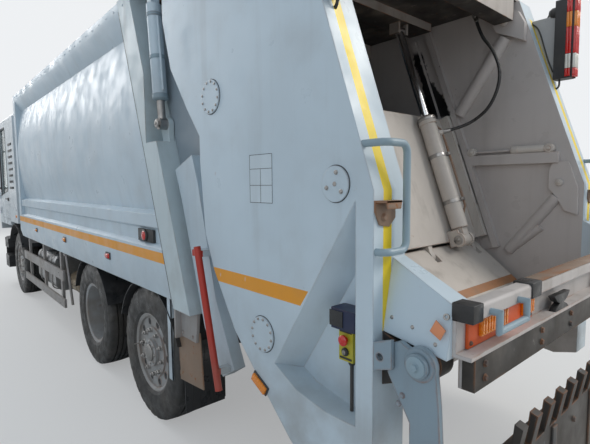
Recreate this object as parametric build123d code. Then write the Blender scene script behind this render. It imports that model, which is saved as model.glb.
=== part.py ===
from build123d import *
import math
import os

# Rear-loading refuse truck, three axles, cab over engine. Millimetres, +Z up.
# While modelling, x = 0 is the rear face of the tailgate's rear posts and x grows forward.
# y = 0 is the truck's middle plane, +y is its left side, z = 0 is the ground.
# Every piece is moved at the end so that the origin is under the middle of the whole truck.

# Overall places along the truck
front_end = 8880.0
half_width = 1250.0

# Wheels and axles
tyre_radius = 515.0
tyre_width = 296.0
tyre_inset = 60.0
rim_radius = 289.0
bead_gap = 0.5
tyre_centre_y = half_width - tyre_inset - tyre_width / 2
twin_spacing = 336.0
rim_wall = 18.0
rim_inset = 34.0
disc_thick = 16.0
disc_out = 100.0
disc_in = -60.0
hub_radius = 105.0
nut_ring_radius = 190.0
front_axle_x = 7500.0
drive_axle_x = 3600.0
tag_axle_x = 2210.0
kingpin_inset = 222.0
kingpin_y = tyre_centre_y - kingpin_inset
kingpin_radius = 24.0
spindle_radius = 45.0
run_gap = 0.3
part_gap = 6.0

# Chassis frame
rail_top = 1000.0
rail_height = 280.0
rail_outer_y = 425.0
rail_flange = 80.0
rail_wall = 9.0
rail_rear = 1330.0
rail_front = 8560.0
rail_low = rail_top - rail_height
spring_half = 640.0
spring_eye_z = 640.0
spring_seat_z = 600.0

# Load body
body_front = 6853.0
body_edge_z = 3128.0
roof_camber = 56.0
wall_thick = 50.0
side_start_x = 1200.0
panel_low_z = 1615.0
panel_high_z = body_edge_z - 228.0
panel_recess = 82.0
panel_edge_y = half_width - panel_recess
rail_strip_z = body_edge_z - 88.0
skirt_low_z = 1032.0
skirt_bend_z = 1137.0
skirt_top_z = 1361.0
groove_top_z = 1501.0
groove_depth_y = 45.0
groove_y = half_width - groove_depth_y
skirt_tuck = 25.0
skirt_low_y = half_width - skirt_tuck
skirt_thick = 12.0
floor_low_z = 1080.0
floor_thick = 40.0
kerb_height = 120.0
front_strip = 140.0
joint_slope = 0.36
joint_x0 = 1054.0
post_width = 225.0
body_wall_depth = 140.0
body_wall_inner = half_width - body_wall_depth
roof_lip = 28.0

# Tailgate
hinge_rise = 104.0
hinge_z = body_edge_z + hinge_rise
hinge_radius = 20.0
hinge_lug = 42.0
seal_gap = 10.0
gate_top_z = body_edge_z + 22.0
gate_low_z = 1080.0
gate_sheet = 14.0
kink_z = 1767.0
post_slope = 0.35
skin_box_depth = 135.0
gate_skin_y = half_width - skin_box_depth
gate_plate = 55.0
gate_inner_y = gate_skin_y - gate_plate
sill_x = -262.0
sill_z = 1395.0
sill_depth = 68.0
sill_height = 50.0
sill_half = half_width - 85.0
sill_wall = 14.0
sill_ledge_z = 1215.0
sill_beam_low_z = 1095.0
cheek_top_z = 1515.0
cheek_top_y = half_width - 115.0
cheek_flare = 0.204
cheek_fold_z = 1245.0
cheek_fold_slope = 0.14
trough_gap = 20.0
trough_start_deg = 43.6
trough_end_deg = 65.0
ramp_end_x = 962.0
trough_thick = 14.0
niche_depth = 125.0
cover_proud = 8.0
handle_radius = 14.0

# Packer
blade_x = 760.0
blade_z = 1250.0
blade_length = 660.0
blade_rest_deg = 35.0
blade_bar_radius = 26.0
blade_ears = (-900, -300, 300, 900)
carriage_rear = -70.0
carriage_front = 60.0
carriage_low = 75.0
carriage_high = 1120.0
carriage_side_gap = 60.0
carriage_half = gate_inner_y - carriage_side_gap
carriage_travel = 700.0
blade_ear_thick = 50.0
guide_rear = -195.0
guide_front = 5.0
guide_half_groove = 52.0
guide_end = carriage_high + carriage_travel + 80.0
guide_depth = 50.0
groove_depth = 40.0
cylinder_u = -142.0
cylinder_inset = 380.0
cylinder_y = carriage_half - cylinder_inset
cylinder_foot_s = 70.0
barrel_radius = 62.0
barrel_bore = 48.0
barrel_end = 1060.0
barrel_start = 160.0
bore_start = 240.0
rod_end_gap = 20.0
carriage_pin_radius = 22.0
hose_port_s = 920.0
hose_port_radius = 20.0
hose_radius = 12.0
rod_radius = 32.0
rod_eye_s = carriage_high + carriage_travel + 30.0

# Tailgate lift cylinders
lift_inset = 68.0
lift_y = half_width - lift_inset
lift_top_z = gate_top_z - 100.0
lift_top_x = joint_x0 + joint_slope * lift_top_z - 222.0
lift_low_x = 1850.0
lift_low_z = 2200.0
lift_barrel_radius = 48.0
lift_bore = 36.0
lift_barrel_length = 690.0
lift_rod_radius = 26.0
lift_pin_radius = 20.0
lift_eye_half = 28.0
lift_drift_room = 120.0

# Bin lift
lift_arm_x = -180.0
lift_arm_z = 1178.0
arm_y = half_width - 21.0
arm_thick = 24.0
arm_pin_radius = 30.0
arm_eye_radius = 62.0
comb_half = 1100.0
tooth_pitch = 125.0
teeth_each_side = 8
comb_reach = 260.0
shift_x = -(front_end + lift_arm_x - comb_reach) / 2

# Cab
cab_back = 7160.0
cab_front = 8870.0
cab_floor_z = 1200.0
cab_low_z = 1010.0
cab_belt_z = 1780.0
cab_roof_z = 2880.0
cab_crown = 70.0
cab_wall = 55.0
cab_half = half_width - 10.0
mirror_out = 50.0
mirror_width = 150.0
cab_tilt_x = 8735.0
cab_tilt_z = 1040.0
door_rear = 7780.0
door_front = 8700.0
arch_radius = 640.0
hinge_heights = (1330.0, 1600.0)
tow_pin_radius = 20.0


def box(x0, x1, y0, y1, z0, z1):
    centre = Pos((x0 + x1) / 2, (y0 + y1) / 2, (z0 + z1) / 2)
    return centre * Box(abs(x1 - x0), abs(y1 - y0), abs(z1 - z0))


def xz_plate(points, y0, y1):
    outline = Polyline(*[(x, y0, z) for x, z in points], close=True)
    return extrude(make_face(outline), amount=y1 - y0, dir=(0, 1, 0))


def yz_plate(points, x0, x1):
    outline = Polyline(*[(x0, y, z) for y, z in points], close=True)
    return extrude(make_face(outline), amount=x1 - x0, dir=(1, 0, 0))


def y_bar(x, z, radius, y0, y1):
    return Pos(x, (y0 + y1) / 2, z) * Rot(90, 0, 0) * Cylinder(radius, abs(y1 - y0))


def bar(start, end, radius):
    start, end = Vector(*start), Vector(*end)
    place = Plane(origin=start, z_dir=end - start)
    return place * Cylinder(radius, (end - start).length, align=(Align.CENTER, Align.CENTER, Align.MIN))


def sweep_tube(points, bends, radius):
    path = FilletPolyline(*points, radius=bends)
    section = Plane(origin=path @ 0, z_dir=path % 0) * Circle(radius)
    return sweep(section, path=path)


def both(shape):
    return shape + mirror(shape, about=Plane.XZ)


def joint_x(z):
    return joint_x0 + joint_slope * z


def post_x(z):
    return max(0.0, post_slope * (z - kink_z))


# The packer's own frame: s runs up along the guides, u runs forward, across them.
guide_tilt = math.degrees(math.atan(joint_slope))
packer_plane = Plane(origin=(blade_x, 0, blade_z), x_dir=(math.cos(math.radians(guide_tilt)), 0,
                     -math.sin(math.radians(guide_tilt))), z_dir=(math.sin(math.radians(guide_tilt)), 0,
                     math.cos(math.radians(guide_tilt))))


hinge_x = joint_x(hinge_z)


def packer_point(place):
    return Vector(*packer_plane.from_local_coords(place))


def hose_points():
    # places along a hose in the packer's frame (u, y, s): roof port first, then the cylinder's port
    bulge_y = cylinder_y + 230
    port = Vector(-62, 68, 0)
    lead = 2.3 * port
    return [packer_point(place) for place in (
        (-650, bulge_y, 1692), (-637, bulge_y, 1528), (-696, bulge_y, 1363), (-691, bulge_y, 1158),
        (-557, bulge_y, 987), (-400, bulge_y, 935), (cylinder_u + lead.X, cylinder_y + lead.Y, hose_port_s),
        (cylinder_u + port.X, cylinder_y + port.Y, hose_port_s))]


# Wheels

def tyre(y):
    half = tyre_width / 2
    rubber = y_bar(0, 0, tyre_radius, y - half, y + half)
    return rubber - y_bar(0, 0, rim_radius + bead_gap, y - half - 1, y + half + 1)


def wheel_disc(y, stand):
    # stand: how far the disc's outer face lies outboard of the wheel's middle plane
    rim_half = tyre_width / 2 - rim_inset
    inside = rim_radius - rim_wall
    barrel = y_bar(0, 0, rim_radius, -rim_half, rim_half) - y_bar(0, 0, inside, -rim_half - 1, rim_half + 1)
    back = stand - disc_thick
    disc = y_bar(0, 0, inside, back, stand) + y_bar(0, 0, nut_ring_radius, back, stand + 12)
    return Pos(0, y, 0) * (barrel + disc)


def hub(y0, y1):
    return y_bar(0, 0, hub_radius, y0, y1)


def spindle_bore(y0, y1):
    # the hub turns on the spindle; its outer end stays closed
    return y_bar(0, 0, spindle_radius + run_gap, y0 - 1, y1 - 40)


def single_wheel(x, hub_in, hub_out):
    place = Pos(x, 0, tyre_radius)
    metal = wheel_disc(tyre_centre_y, disc_out) + hub(hub_in, hub_out)
    return place * tyre(tyre_centre_y), place * (metal - spindle_bore(hub_in, hub_out))


def twin_wheel(x):
    place = Pos(x, 0, tyre_radius)
    inner_y = tyre_centre_y - twin_spacing
    hub_in, hub_out = inner_y + disc_in, tyre_centre_y - 2
    metal = wheel_disc(tyre_centre_y, disc_in) + wheel_disc(inner_y, disc_thick - disc_in)
    metal += y_bar(0, 0, nut_ring_radius, inner_y - disc_in, tyre_centre_y + disc_in - disc_thick)
    metal += hub(hub_in, hub_out)
    return place * (tyre(tyre_centre_y) + tyre(inner_y)), place * (metal - spindle_bore(hub_in, hub_out))


# Chassis

def frame_rails():
    channel = [(rail_outer_y, rail_top), (rail_outer_y - rail_flange, rail_top),
               (rail_outer_y - rail_flange, rail_top - rail_wall),
               (rail_outer_y - rail_wall, rail_top - rail_wall),
               (rail_outer_y - rail_wall, rail_top - rail_height + rail_wall),
               (rail_outer_y - rail_flange, rail_top - rail_height + rail_wall),
               (rail_outer_y - rail_flange, rail_top - rail_height), (rail_outer_y, rail_top - rail_height)]
    frame = both(yz_plate(channel, rail_rear, rail_front))
    cross_y = rail_outer_y - rail_wall
    for x in (rail_rear + 60, tag_axle_x - 620, 2905, drive_axle_x + 700, 5300, 6400, rail_front - 60):
        frame += box(x - 40, x + 40, -cross_y, cross_y, rail_top - 220, rail_top - 60)
    for x in (front_axle_x, drive_axle_x, tag_axle_x):
        for end in (-1, 1):
            frame += both(spring_hanger(x + end * spring_half))
    tilt_arm = xz_plate([(rail_front - 60, rail_top - 90), (rail_front - 60, rail_top),
                         (cab_tilt_x - 20, cab_tilt_z + 30), (cab_tilt_x, cab_tilt_z - 42),
                         (rail_front, rail_top - 90)], rail_outer_y - rail_flange, rail_outer_y)
    tilt_arm += y_bar(cab_tilt_x, cab_tilt_z, 42, rail_outer_y - rail_flange, rail_outer_y)
    tilt_arm -= y_bar(cab_tilt_x, cab_tilt_z, hinge_radius + run_gap, 0, half_width)
    rest = box(7190, 7290, rail_outer_y - rail_flange, rail_outer_y, rail_top, cab_floor_z - run_gap)
    return frame + both(tilt_arm + rest)


def spring_hanger(x):
    return box(x - 50, x + 50, rail_outer_y - rail_flange, rail_outer_y, spring_eye_z + 30,
               rail_top - rail_height)


def leaf_spring(x):
    low = spring_seat_z
    ends = spring_eye_z
    top = ThreePointArc((x - spring_half, 0, ends + 30), (x, 0, low + 45), (x + spring_half, 0, ends + 30))
    bottom = ThreePointArc((x + spring_half, 0, ends), (x, 0, low), (x - spring_half, 0, ends))
    edges = [top, Line(top @ 1, bottom @ 0), bottom, Line(bottom @ 1, top @ 0)]
    leaf = extrude(make_face(edges), amount=rail_flange - 10, dir=(0, 1, 0))
    return Pos(0, rail_outer_y - rail_flange + 5, 0) * leaf


def leaf_springs():
    springs = leaf_spring(front_axle_x) + leaf_spring(drive_axle_x) + leaf_spring(tag_axle_x)
    return both(springs)


def front_axle():
    # dropped beam between the kingpins, its ends forked round each knuckle
    eye_in = kingpin_y - 60
    beam = [(-eye_in, tyre_radius + 35), (-eye_in, tyre_radius - 45), (-620, tyre_radius - 80),
            (-480, 430), (480, 430), (620, tyre_radius - 80), (eye_in, tyre_radius - 45),
            (eye_in, tyre_radius + 35), (540, 520), (-540, 520)]
    axle = yz_plate(beam, front_axle_x - 50, front_axle_x + 50)
    pad = box(front_axle_x - 90, front_axle_x + 90, rail_outer_y - rail_flange, rail_outer_y, 520,
              spring_seat_z)
    pin = Pos(front_axle_x, kingpin_y, tyre_radius) * Cylinder(kingpin_radius, 190)
    eye = Pos(front_axle_x, kingpin_y, tyre_radius) * Cylinder(62, 80)
    arm = box(front_axle_x - 50, front_axle_x + 50, eye_in, kingpin_y - 20, tyre_radius - 40,
              tyre_radius + 35)
    return axle + both(pad + pin + eye + arm)


def knuckle():
    # fork above and below the axle's eye, bored for the kingpin, with the wheel spindle
    upper = Cylinder(60, 46)
    solid = Pos(0, kingpin_y, tyre_radius + 40 + run_gap + 23) * upper
    solid += Pos(0, kingpin_y, tyre_radius - 40 - run_gap - 23) * upper
    solid += box(-60, 60, kingpin_y + 66, kingpin_y + 96, tyre_radius - 86, tyre_radius + 86)
    for side in (-1, 1):
        z = tyre_radius + side * (40 + run_gap + 23)
        solid += box(-45, 45, kingpin_y + 20, kingpin_y + 70, z - 23, z + 23)
    solid -= Pos(0, kingpin_y, tyre_radius) * Cylinder(kingpin_radius + run_gap, 400)
    solid += y_bar(0, tyre_radius, spindle_radius, kingpin_y + 90, tyre_centre_y + 40)
    return Pos(front_axle_x, 0, 0) * solid


def rear_axles():
    drive = y_bar(drive_axle_x, tyre_radius, 75, -560, 560)
    drive += chamfer(y_bar(drive_axle_x, tyre_radius, 200, -110, 110).edges(), 60)
    drive += both(y_bar(drive_axle_x, tyre_radius, spindle_radius, 555, tyre_centre_y - 50))
    tag = box(tag_axle_x - 55, tag_axle_x + 55, -860, 860, tyre_radius - 60, tyre_radius + 60)
    tag += both(y_bar(tag_axle_x, tyre_radius, spindle_radius, 850, tyre_centre_y + 90))
    pad = box(-80, 80, rail_outer_y - rail_flange, rail_outer_y, tyre_radius + 40, spring_seat_z)
    drive += both(Pos(drive_axle_x, 0, 0) * pad)
    tag += both(Pos(tag_axle_x, 0, 0) * pad)
    drive += bar((drive_axle_x + 150, 0, tyre_radius + 20), (6690, 0, 700), 55)
    return drive + tag


def engine_block():
    engine = box(7250, 8450, -300, 300, 640, 1380)
    mounts = both(box(7700, 7800, 300, rail_outer_y - rail_wall, rail_low + 80, rail_low + 140))
    return chamfer(engine.edges().filter_by(Axis.X), 60) + box(6700, 7250, -180, 180, 620, 960) + mounts


def tanks():
    fuel = box(5250, 6250, 545, 1150, 430, 900)
    fuel = fillet(fuel.edges().filter_by(Axis.X), 110)
    for x in (5430, 6070):
        fuel += box(x - 30, x + 30, rail_outer_y, 545, 600, rail_low + 60)
    for y in (620, 900):
        fuel += bar((4700, y, 560), (5160, y, 560), 125)
    fuel += box(4880, 4940, rail_outer_y, 900, 640, rail_low + 20)
    battery = box(4700, 5400, -1130, -rail_outer_y, 480, 880)
    box_side = box(5550, 6350, -1130, -rail_outer_y, 450, 880)
    return fuel + battery + fillet(box_side.edges().filter_by(Axis.X), 60)


def side_guard():
    guard = box(4600, 6920, 1185, 1210, 680, 800) + box(4600, 6920, 1185, 1210, 360, 460)
    for x in (4800, 5700, 6640):
        guard += box(x - 30, x + 30, 1155, 1185, 340, skirt_low_z + 40)
        guard += box(x - 30, x + 30, rail_outer_y, 1185, 930, 985)
    return guard


def mudguards():
    guard = None
    for x, y_in in ((drive_axle_x, 570), (tag_axle_x, 870)):
        ring = y_bar(x, tyre_radius, 556, y_in, 1205) - y_bar(x, tyre_radius, 548, y_in - 1, 1206)
        ring &= box(x - 600, x + 600, 0, 1300, tyre_radius + 190, tyre_radius + 600)
        ring += box(x - 20, x + 20, rail_outer_y, 1205, tyre_radius + 552, tyre_radius + 562)
        guard = ring if guard is None else guard + ring
    front = y_bar(front_axle_x, tyre_radius, arch_radius + 8, 700, 1235)
    front -= y_bar(front_axle_x, tyre_radius, arch_radius, 699, 1236)
    front &= box(front_axle_x - 700, front_axle_x + 700, 0, 1300, tyre_radius + 320, tyre_radius + 700)
    front += box(front_axle_x - 20, front_axle_x + 20, rail_outer_y, 1235, tyre_radius + 645,
                 tyre_radius + 660)
    front += box(front_axle_x - 20, front_axle_x + 20, rail_outer_y, rail_outer_y + 12, rail_top - 60,
                 tyre_radius + 660)
    return both(guard + front)


def front_bumper():
    deck = [(8230, -1240), (8560, -1240), (8800, -1170), (front_end, -900), (front_end, 900), (8800, 1170),
            (8560, 1240), (8230, 1240), (8230, 1120), (8500, 1120), (8700, 1060), (8740, 860), (8740, -860),
            (8700, -1060), (8500, -1120), (8230, -1120)]
    outline = Polyline(*[(x, y, 350) for x, y in deck], close=True)
    bumper = extrude(make_face(outline), amount=510, dir=(0, 0, 1))
    bumper -= box(8000, 8640, -1300, 1300, 560, 700)
    bumper -= box(8790, 9000, -70, 70, 560, 660)
    bumper -= Pos(8840, 0, 600) * Cylinder(tow_pin_radius, 1000)
    beam = box(8560, 8740, -600, 600, 500, 700)
    ends = both(box(8300, 8570, rail_outer_y - 60, rail_outer_y - 10, 560, rail_low))
    return bumper + beam + ends


# Load body

def body_side():
    # one wall: top rail, bowed panel, ledge, groove, hanging skirt
    x1 = body_front
    p = [(half_width, body_edge_z), (half_width, rail_strip_z), (panel_edge_y, panel_high_z)]
    lower = [(panel_edge_y, panel_low_z), (half_width - 12, panel_low_z - 25),
             (half_width - 12, groove_top_z),
             (groove_y, groove_top_z - 20), (groove_y, skirt_top_z + 25), (half_width, skirt_top_z),
             (half_width, skirt_bend_z), (skirt_low_y, skirt_low_z),
             (skirt_low_y - skirt_thick, skirt_low_z),
             (half_width - skirt_thick, skirt_bend_z), (half_width - skirt_thick, skirt_top_z - 15),
             (body_wall_inner, floor_low_z + floor_thick + kerb_height),
             (body_wall_inner, body_edge_z - roof_lip)]
    lines = [Polyline(*[(x1, y, z) for y, z in p])]
    lines.append(ThreePointArc((x1, panel_edge_y, panel_high_z),
                               (x1, half_width - 4, (panel_high_z + panel_low_z) / 2),
                               (x1, panel_edge_y, panel_low_z)))
    lines.append(Polyline(*[(x1, y, z) for y, z in lower], (x1, half_width, body_edge_z)))
    section = make_face(lines)
    side = extrude(section, amount=x1 - side_start_x, dir=(-1, 0, 0))
    behind = xz_plate([(side_start_x - 10, 900), (joint_x(900) + post_width, 900),
                       (joint_x(body_edge_z + 100) + post_width, body_edge_z + 100),
                       (side_start_x - 10, body_edge_z + 100)], body_wall_inner - 100, half_width + 50)
    side -= behind
    foot = floor_low_z + floor_thick + kerb_height
    strip = yz_plate([(body_wall_inner, foot), (half_width, foot), (half_width, body_edge_z),
                      (body_wall_inner, body_edge_z - roof_lip)], body_front - front_strip, body_front)
    return side + strip


def body_floor():
    front = body_front - wall_thick
    outline = [(joint_x(floor_low_z) + post_width, floor_low_z), (front, floor_low_z),
               (front, floor_low_z + floor_thick), (joint_x(floor_low_z + floor_thick) + post_width,
                                                    floor_low_z + floor_thick)]
    floor = xz_plate(outline, -body_wall_inner, body_wall_inner)
    deck = floor_low_z + floor_thick
    kerb = xz_plate([(joint_x(deck) + post_width, deck), (front, deck), (front, deck + kerb_height),
                     (joint_x(deck + kerb_height) + post_width, deck + kerb_height)],
                    body_wall_inner - 60, body_wall_inner)
    bearers = box(joint_x(floor_low_z) + post_width, front, rail_outer_y - rail_flange, rail_outer_y,
                  rail_top, floor_low_z)
    floor += both(kerb + bearers)
    for x in (2600, 3300, 4100, 4900, 5700, 6500):
        floor += box(x - 30, x + 30, -body_wall_inner, body_wall_inner, floor_low_z - 45, floor_low_z)
    return floor


def body_front_wall():
    low = floor_low_z
    wall = box(body_front - wall_thick, body_front, -body_wall_inner, body_wall_inner, low,
               body_edge_z - roof_lip)
    for y in (-740, -370, 0, 370, 740):
        wall += box(body_front, body_front + 45, y - 35, y + 35, low + 60, body_edge_z - 150)
    return wall


def body_roof():
    x1 = body_front
    edge = body_edge_z
    low = edge - roof_lip
    top = ThreePointArc((x1, -half_width, edge), (x1, 0, edge + roof_camber), (x1, half_width, edge))
    inner_y = body_wall_inner
    rib_half = half_width - 50
    bottom = ThreePointArc((x1, inner_y, low), (x1, 0, low + roof_camber - 6), (x1, -inner_y, low))
    lines = [top, Line(top @ 1, bottom @ 0), bottom, Line(bottom @ 1, top @ 0)]
    roof = extrude(make_face(lines), amount=x1 - (joint_x(body_edge_z + 12) + post_width), dir=(-1, 0, 0))
    for x in (3000, 3900, 4800, 5700, 6600):
        rib = ThreePointArc((x, -rib_half, edge + 3), (x, 0, edge + roof_camber + 24),
                            (x, rib_half, edge + 3))
        rib_low = ThreePointArc((x, rib_half, edge + 3), (x, 0, edge + roof_camber - 5),
                                (x, -rib_half, edge + 3))
        roof += extrude(make_face([rib, rib_low]), amount=60, dir=(1, 0, 0))
    return roof


def body_rear_frame():
    # slanted portal that the tailgate closes on, with the top hinge lugs and the lift cylinders' brackets
    top = body_edge_z + 12
    low = skirt_low_z - 40
    post = xz_plate([(joint_x(low), low), (joint_x(low) + post_width, low), (joint_x(top) + post_width, top),
                     (joint_x(top), top)], body_wall_inner - 40, half_width)
    post -= box(lift_low_x - 200, lift_low_x + 120, lift_y - 64, half_width + 10,
                lift_low_z - lift_drift_room,
                lift_low_z + 400)
    header = xz_plate([(joint_x(top - 150), top - 150), (joint_x(top - 150) + post_width, top - 150),
                       (joint_x(top) + post_width, top), (joint_x(top), top)],
                      -body_wall_inner + 40, body_wall_inner - 40)
    cill = xz_plate([(joint_x(rail_top), rail_top), (joint_x(rail_top) + post_width, rail_top),
                     (joint_x(floor_low_z + floor_thick) + post_width, floor_low_z + floor_thick),
                     (joint_x(floor_low_z + floor_thick), floor_low_z + floor_thick)],
                    -body_wall_inner + 40, body_wall_inner - 40)
    frame = both(post) + header + cill
    lug = y_bar(hinge_x, hinge_z, hinge_lug, 680, 720)
    lug += xz_plate([(hinge_x - 20, hinge_z), (hinge_x + 30, hinge_z + 25), (hinge_x + 150, top),
                     (hinge_x + 40, top)], 680, 720)
    lug -= y_bar(hinge_x, hinge_z, hinge_radius + run_gap, 670, 730)
    # flat lugs beside the lift rods' eyes; each rod carries its own pin
    lug_in, lug_out = lift_y - 62, lift_y - lift_eye_half - run_gap
    eye = y_bar(lift_low_x, lift_low_z, 44, lug_in, lug_out)
    eye += xz_plate([(lift_low_x - 44, lift_low_z), (lift_low_x + 90, lift_low_z),
                     (lift_low_x + 60, lift_low_z - 100), (lift_low_x - 20, lift_low_z - 330),
                     (joint_x(lift_low_z - 330), lift_low_z - 330),
                     (joint_x(lift_low_z - 100), lift_low_z - 100),
                     (lift_low_x - 40, lift_low_z - 60)], lug_in, lug_out)
    return frame + both(lug + eye)


def ejector_panel():
    # sloped pushing plate at the front of the load space, on two floor runners
    front = body_front - wall_thick - 60
    face = [(front - 900, floor_low_z + floor_thick + 140), (front - 860, floor_low_z + floor_thick + 140),
            (front - 40, 2980), (front - 80, 2980), (front - 340, 2500)]
    inner = body_wall_inner - 70
    plate = xz_plate(face, -inner, inner)
    for y in (-760, 0, 760):
        plate += xz_plate([(front - 860, floor_low_z + floor_thick + 140),
                           (front, floor_low_z + floor_thick + 140),
                           (front, 1700), (front - 40, 2980)], y - 20, y + 20)
    shoe = box(front - 900, front, body_wall_inner - 120, body_wall_inner - 66,
               floor_low_z + floor_thick + run_gap,
               floor_low_z + floor_thick + 140)
    return plate + both(shoe)


# Tailgate

def gate_front(z):
    return joint_x(z) - seal_gap


def cheek_fold(x):
    return cheek_fold_z + cheek_fold_slope * x


def cheek():
    # wedge outside the rear edge of the side plate, its outer face flared outward to the bottom
    low = cheek_fold(sill_x)
    side = xz_plate([(0, cheek_top_z), (sill_x, sill_z - 6), (sill_x, low), (0, cheek_fold(0))],
                    gate_skin_y, half_width)
    flare = yz_plate([(gate_skin_y, cheek_top_z), (cheek_top_y, cheek_top_z),
                      (cheek_top_y + cheek_flare * (cheek_top_z - low), low), (gate_skin_y, low)], sill_x, 0)
    return side & flare


def niche_tool():
    # recess in the skin; its long upper edge slopes further back than the skin's face
    floor_y = half_width - niche_depth
    low = [(427, 882), (252, 852), (83, 857)]
    face = Polyline(*[(x, half_width + 1, z) for x, z in [(85, 1731), (580, 956)] + low], close=True)
    back = Polyline(*[(x, floor_y, z) for x, z in [(85, 1584), (513, 924)] + low], close=True)
    return loft([make_face(back), make_face(face)], ruled=True)


def gate_side():
    low = gate_low_z
    wall = [(gate_front(low), low), (gate_front(gate_top_z), gate_top_z), (post_x(gate_top_z), gate_top_z),
            (0, kink_z), (0, cheek_top_z), (sill_x, sill_z - 6), (sill_x, cheek_fold(sill_x)), (0, 1040),
            (0, 560),
            (150, 520), (330, 545), (475, 630), (700, 830), (910, 1030), (ramp_end_x, low)]
    plate = xz_plate(wall, gate_inner_y, gate_skin_y)
    skin = [(1650, gate_top_z), (1650, 2790), (1560, 2490), (1370, 2230), (1230, 2060), (1230, 1920),
            (1190, 1520), (1110, 1330), (910, 1030), (700, 830), (475, 630), (330, 545), (150, 520),
            (0, 560),
            (0, kink_z), (post_x(gate_top_z), gate_top_z)]
    outer = xz_plate(skin, gate_skin_y, half_width) - niche_tool()
    for x, z, radius in ((1095, 2255, 89), (184, 1790, 70), (668, 1074, 86)):
        outer += y_bar(x, z, radius, half_width - 4, half_width + cover_proud)
    # guard channel along the front edge of the skin
    edge = [(1665, 1889), (1440, 1972), (1375, 1800), (1200, 1130), (1020, 760), (1142, 682), (1337, 926),
            (1586, 1698)]
    return plate + outer + cheek() + xz_plate(edge, gate_skin_y, gate_skin_y + 75)


def guide_rail():
    # channel that the carriage's shoes run in, fixed to the side wall
    middle = (guide_rear + guide_front) / 2
    rail = packer_plane * Pos(middle, gate_inner_y - guide_depth / 2, guide_end / 2 - 20)
    rail = rail * Box(guide_front - guide_rear, guide_depth, guide_end + 40)
    groove = packer_plane * Pos(middle, gate_inner_y - guide_depth + groove_depth / 2, guide_end / 2)
    return rail - groove * Box(2 * guide_half_groove, groove_depth, guide_end + 200)


def inner_fittings():
    # plates with their pins, braces, a beam and a small fixed cylinder on the wall beside the packer
    face = gate_inner_y
    inside = box(0, 3000, face - 70, face, 0, 4000)
    plates = xz_plate([(662, 3002), (637, 3080), (552, 3092), (469, 3058), (420, 2964), (420, 2835),
                       (514, 2886),
                       (633, 2941)], face - 50, face)
    plates += xz_plate([(197, 1940), (97, 1931), (34, 1752), (29, 1556), (110, 1582), (169, 1682),
                        (222, 1743),
                        (222, 1865)], face - 30, face)
    plates += y_bar(570, 2997, 26, face - 66, face - 50) + y_bar(147, 1786, 26, face - 46, face - 30)
    braces = bar((575, face - 5, 2900), (940, face - 5, 2357), 50)
    braces += bar((169, face, 1682), (500, face, 1250), 40) + bar((270, face, 1453), (460, face, 1282), 30)
    small_z, small_y = 2032, face - 25
    small = bar((221, small_y, small_z), (494, small_y, small_z), 20)
    small += bar((494, small_y, small_z), (804, small_y, small_z), 12)
    small += y_bar(221, small_z, 27, face - 46, face) + y_bar(804, small_z, 27, face - 46, face)
    return plates + (braces & inside) + small + box(160, 826, face - 50, face, 1925, 2005)


def tailgate_side():
    return gate_side() + guide_rail() + inner_fittings()


def trough_region(shift):
    # area above the trough's line: straight rear wall, arc about the blade's hinge, ramp and flat
    start, stop = math.radians(trough_start_deg), math.radians(trough_end_deg)
    radius = blade_length + trough_gap + shift
    along = Vector(math.sin(start), 0, -math.cos(start))
    bend = Vector(blade_x, 0, blade_z) + radius * Vector(-math.cos(start), 0, -math.sin(start))
    middle_angle = (start + stop) / 2
    middle = Vector(blade_x, 0, blade_z) + radius * Vector(-math.cos(middle_angle), 0,
                                                           -math.sin(middle_angle))
    end = Vector(blade_x, 0, blade_z) + radius * Vector(-math.cos(stop), 0, -math.sin(stop))
    top = bend - along * ((bend.X - sill_x) / along.X)
    flat_z = gate_low_z - shift
    ramp_end = Vector(ramp_end_x + shift, 0, flat_z)
    front = Vector(gate_front(flat_z), 0, flat_z)
    lines = [Line(top, bend), ThreePointArc(bend, middle, end),
             Polyline(end, ramp_end, front, (front.X, 0, 2000), (top.X, 0, 2000), top)]
    area = extrude(make_face(lines), amount=2 * gate_inner_y, dir=(0, 1, 0))
    return Pos(0, -gate_inner_y, 0) * area


def sill():
    x0, x1, wall = sill_x - sill_depth, sill_x, sill_wall
    channel = xz_plate([(x0, sill_z), (x0, sill_z - sill_height), (x1 - wall, sill_z - sill_height),
                        (x1 - wall, sill_ledge_z + wall), (x0, sill_ledge_z + wall), (x0, sill_ledge_z),
                        (x1, sill_ledge_z), (x1, sill_z)], -sill_half, sill_half)
    channel = fillet(channel.edges().filter_by(Axis.Y).group_by(Axis.Z)[-1], 14)
    beam = box(x0 + 10, x1, -sill_half + 45, sill_half - 45, sill_beam_low_z, sill_ledge_z)
    return channel + beam


def tailgate_hopper():
    return trough_region(trough_thick) - trough_region(0) + sill()


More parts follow.
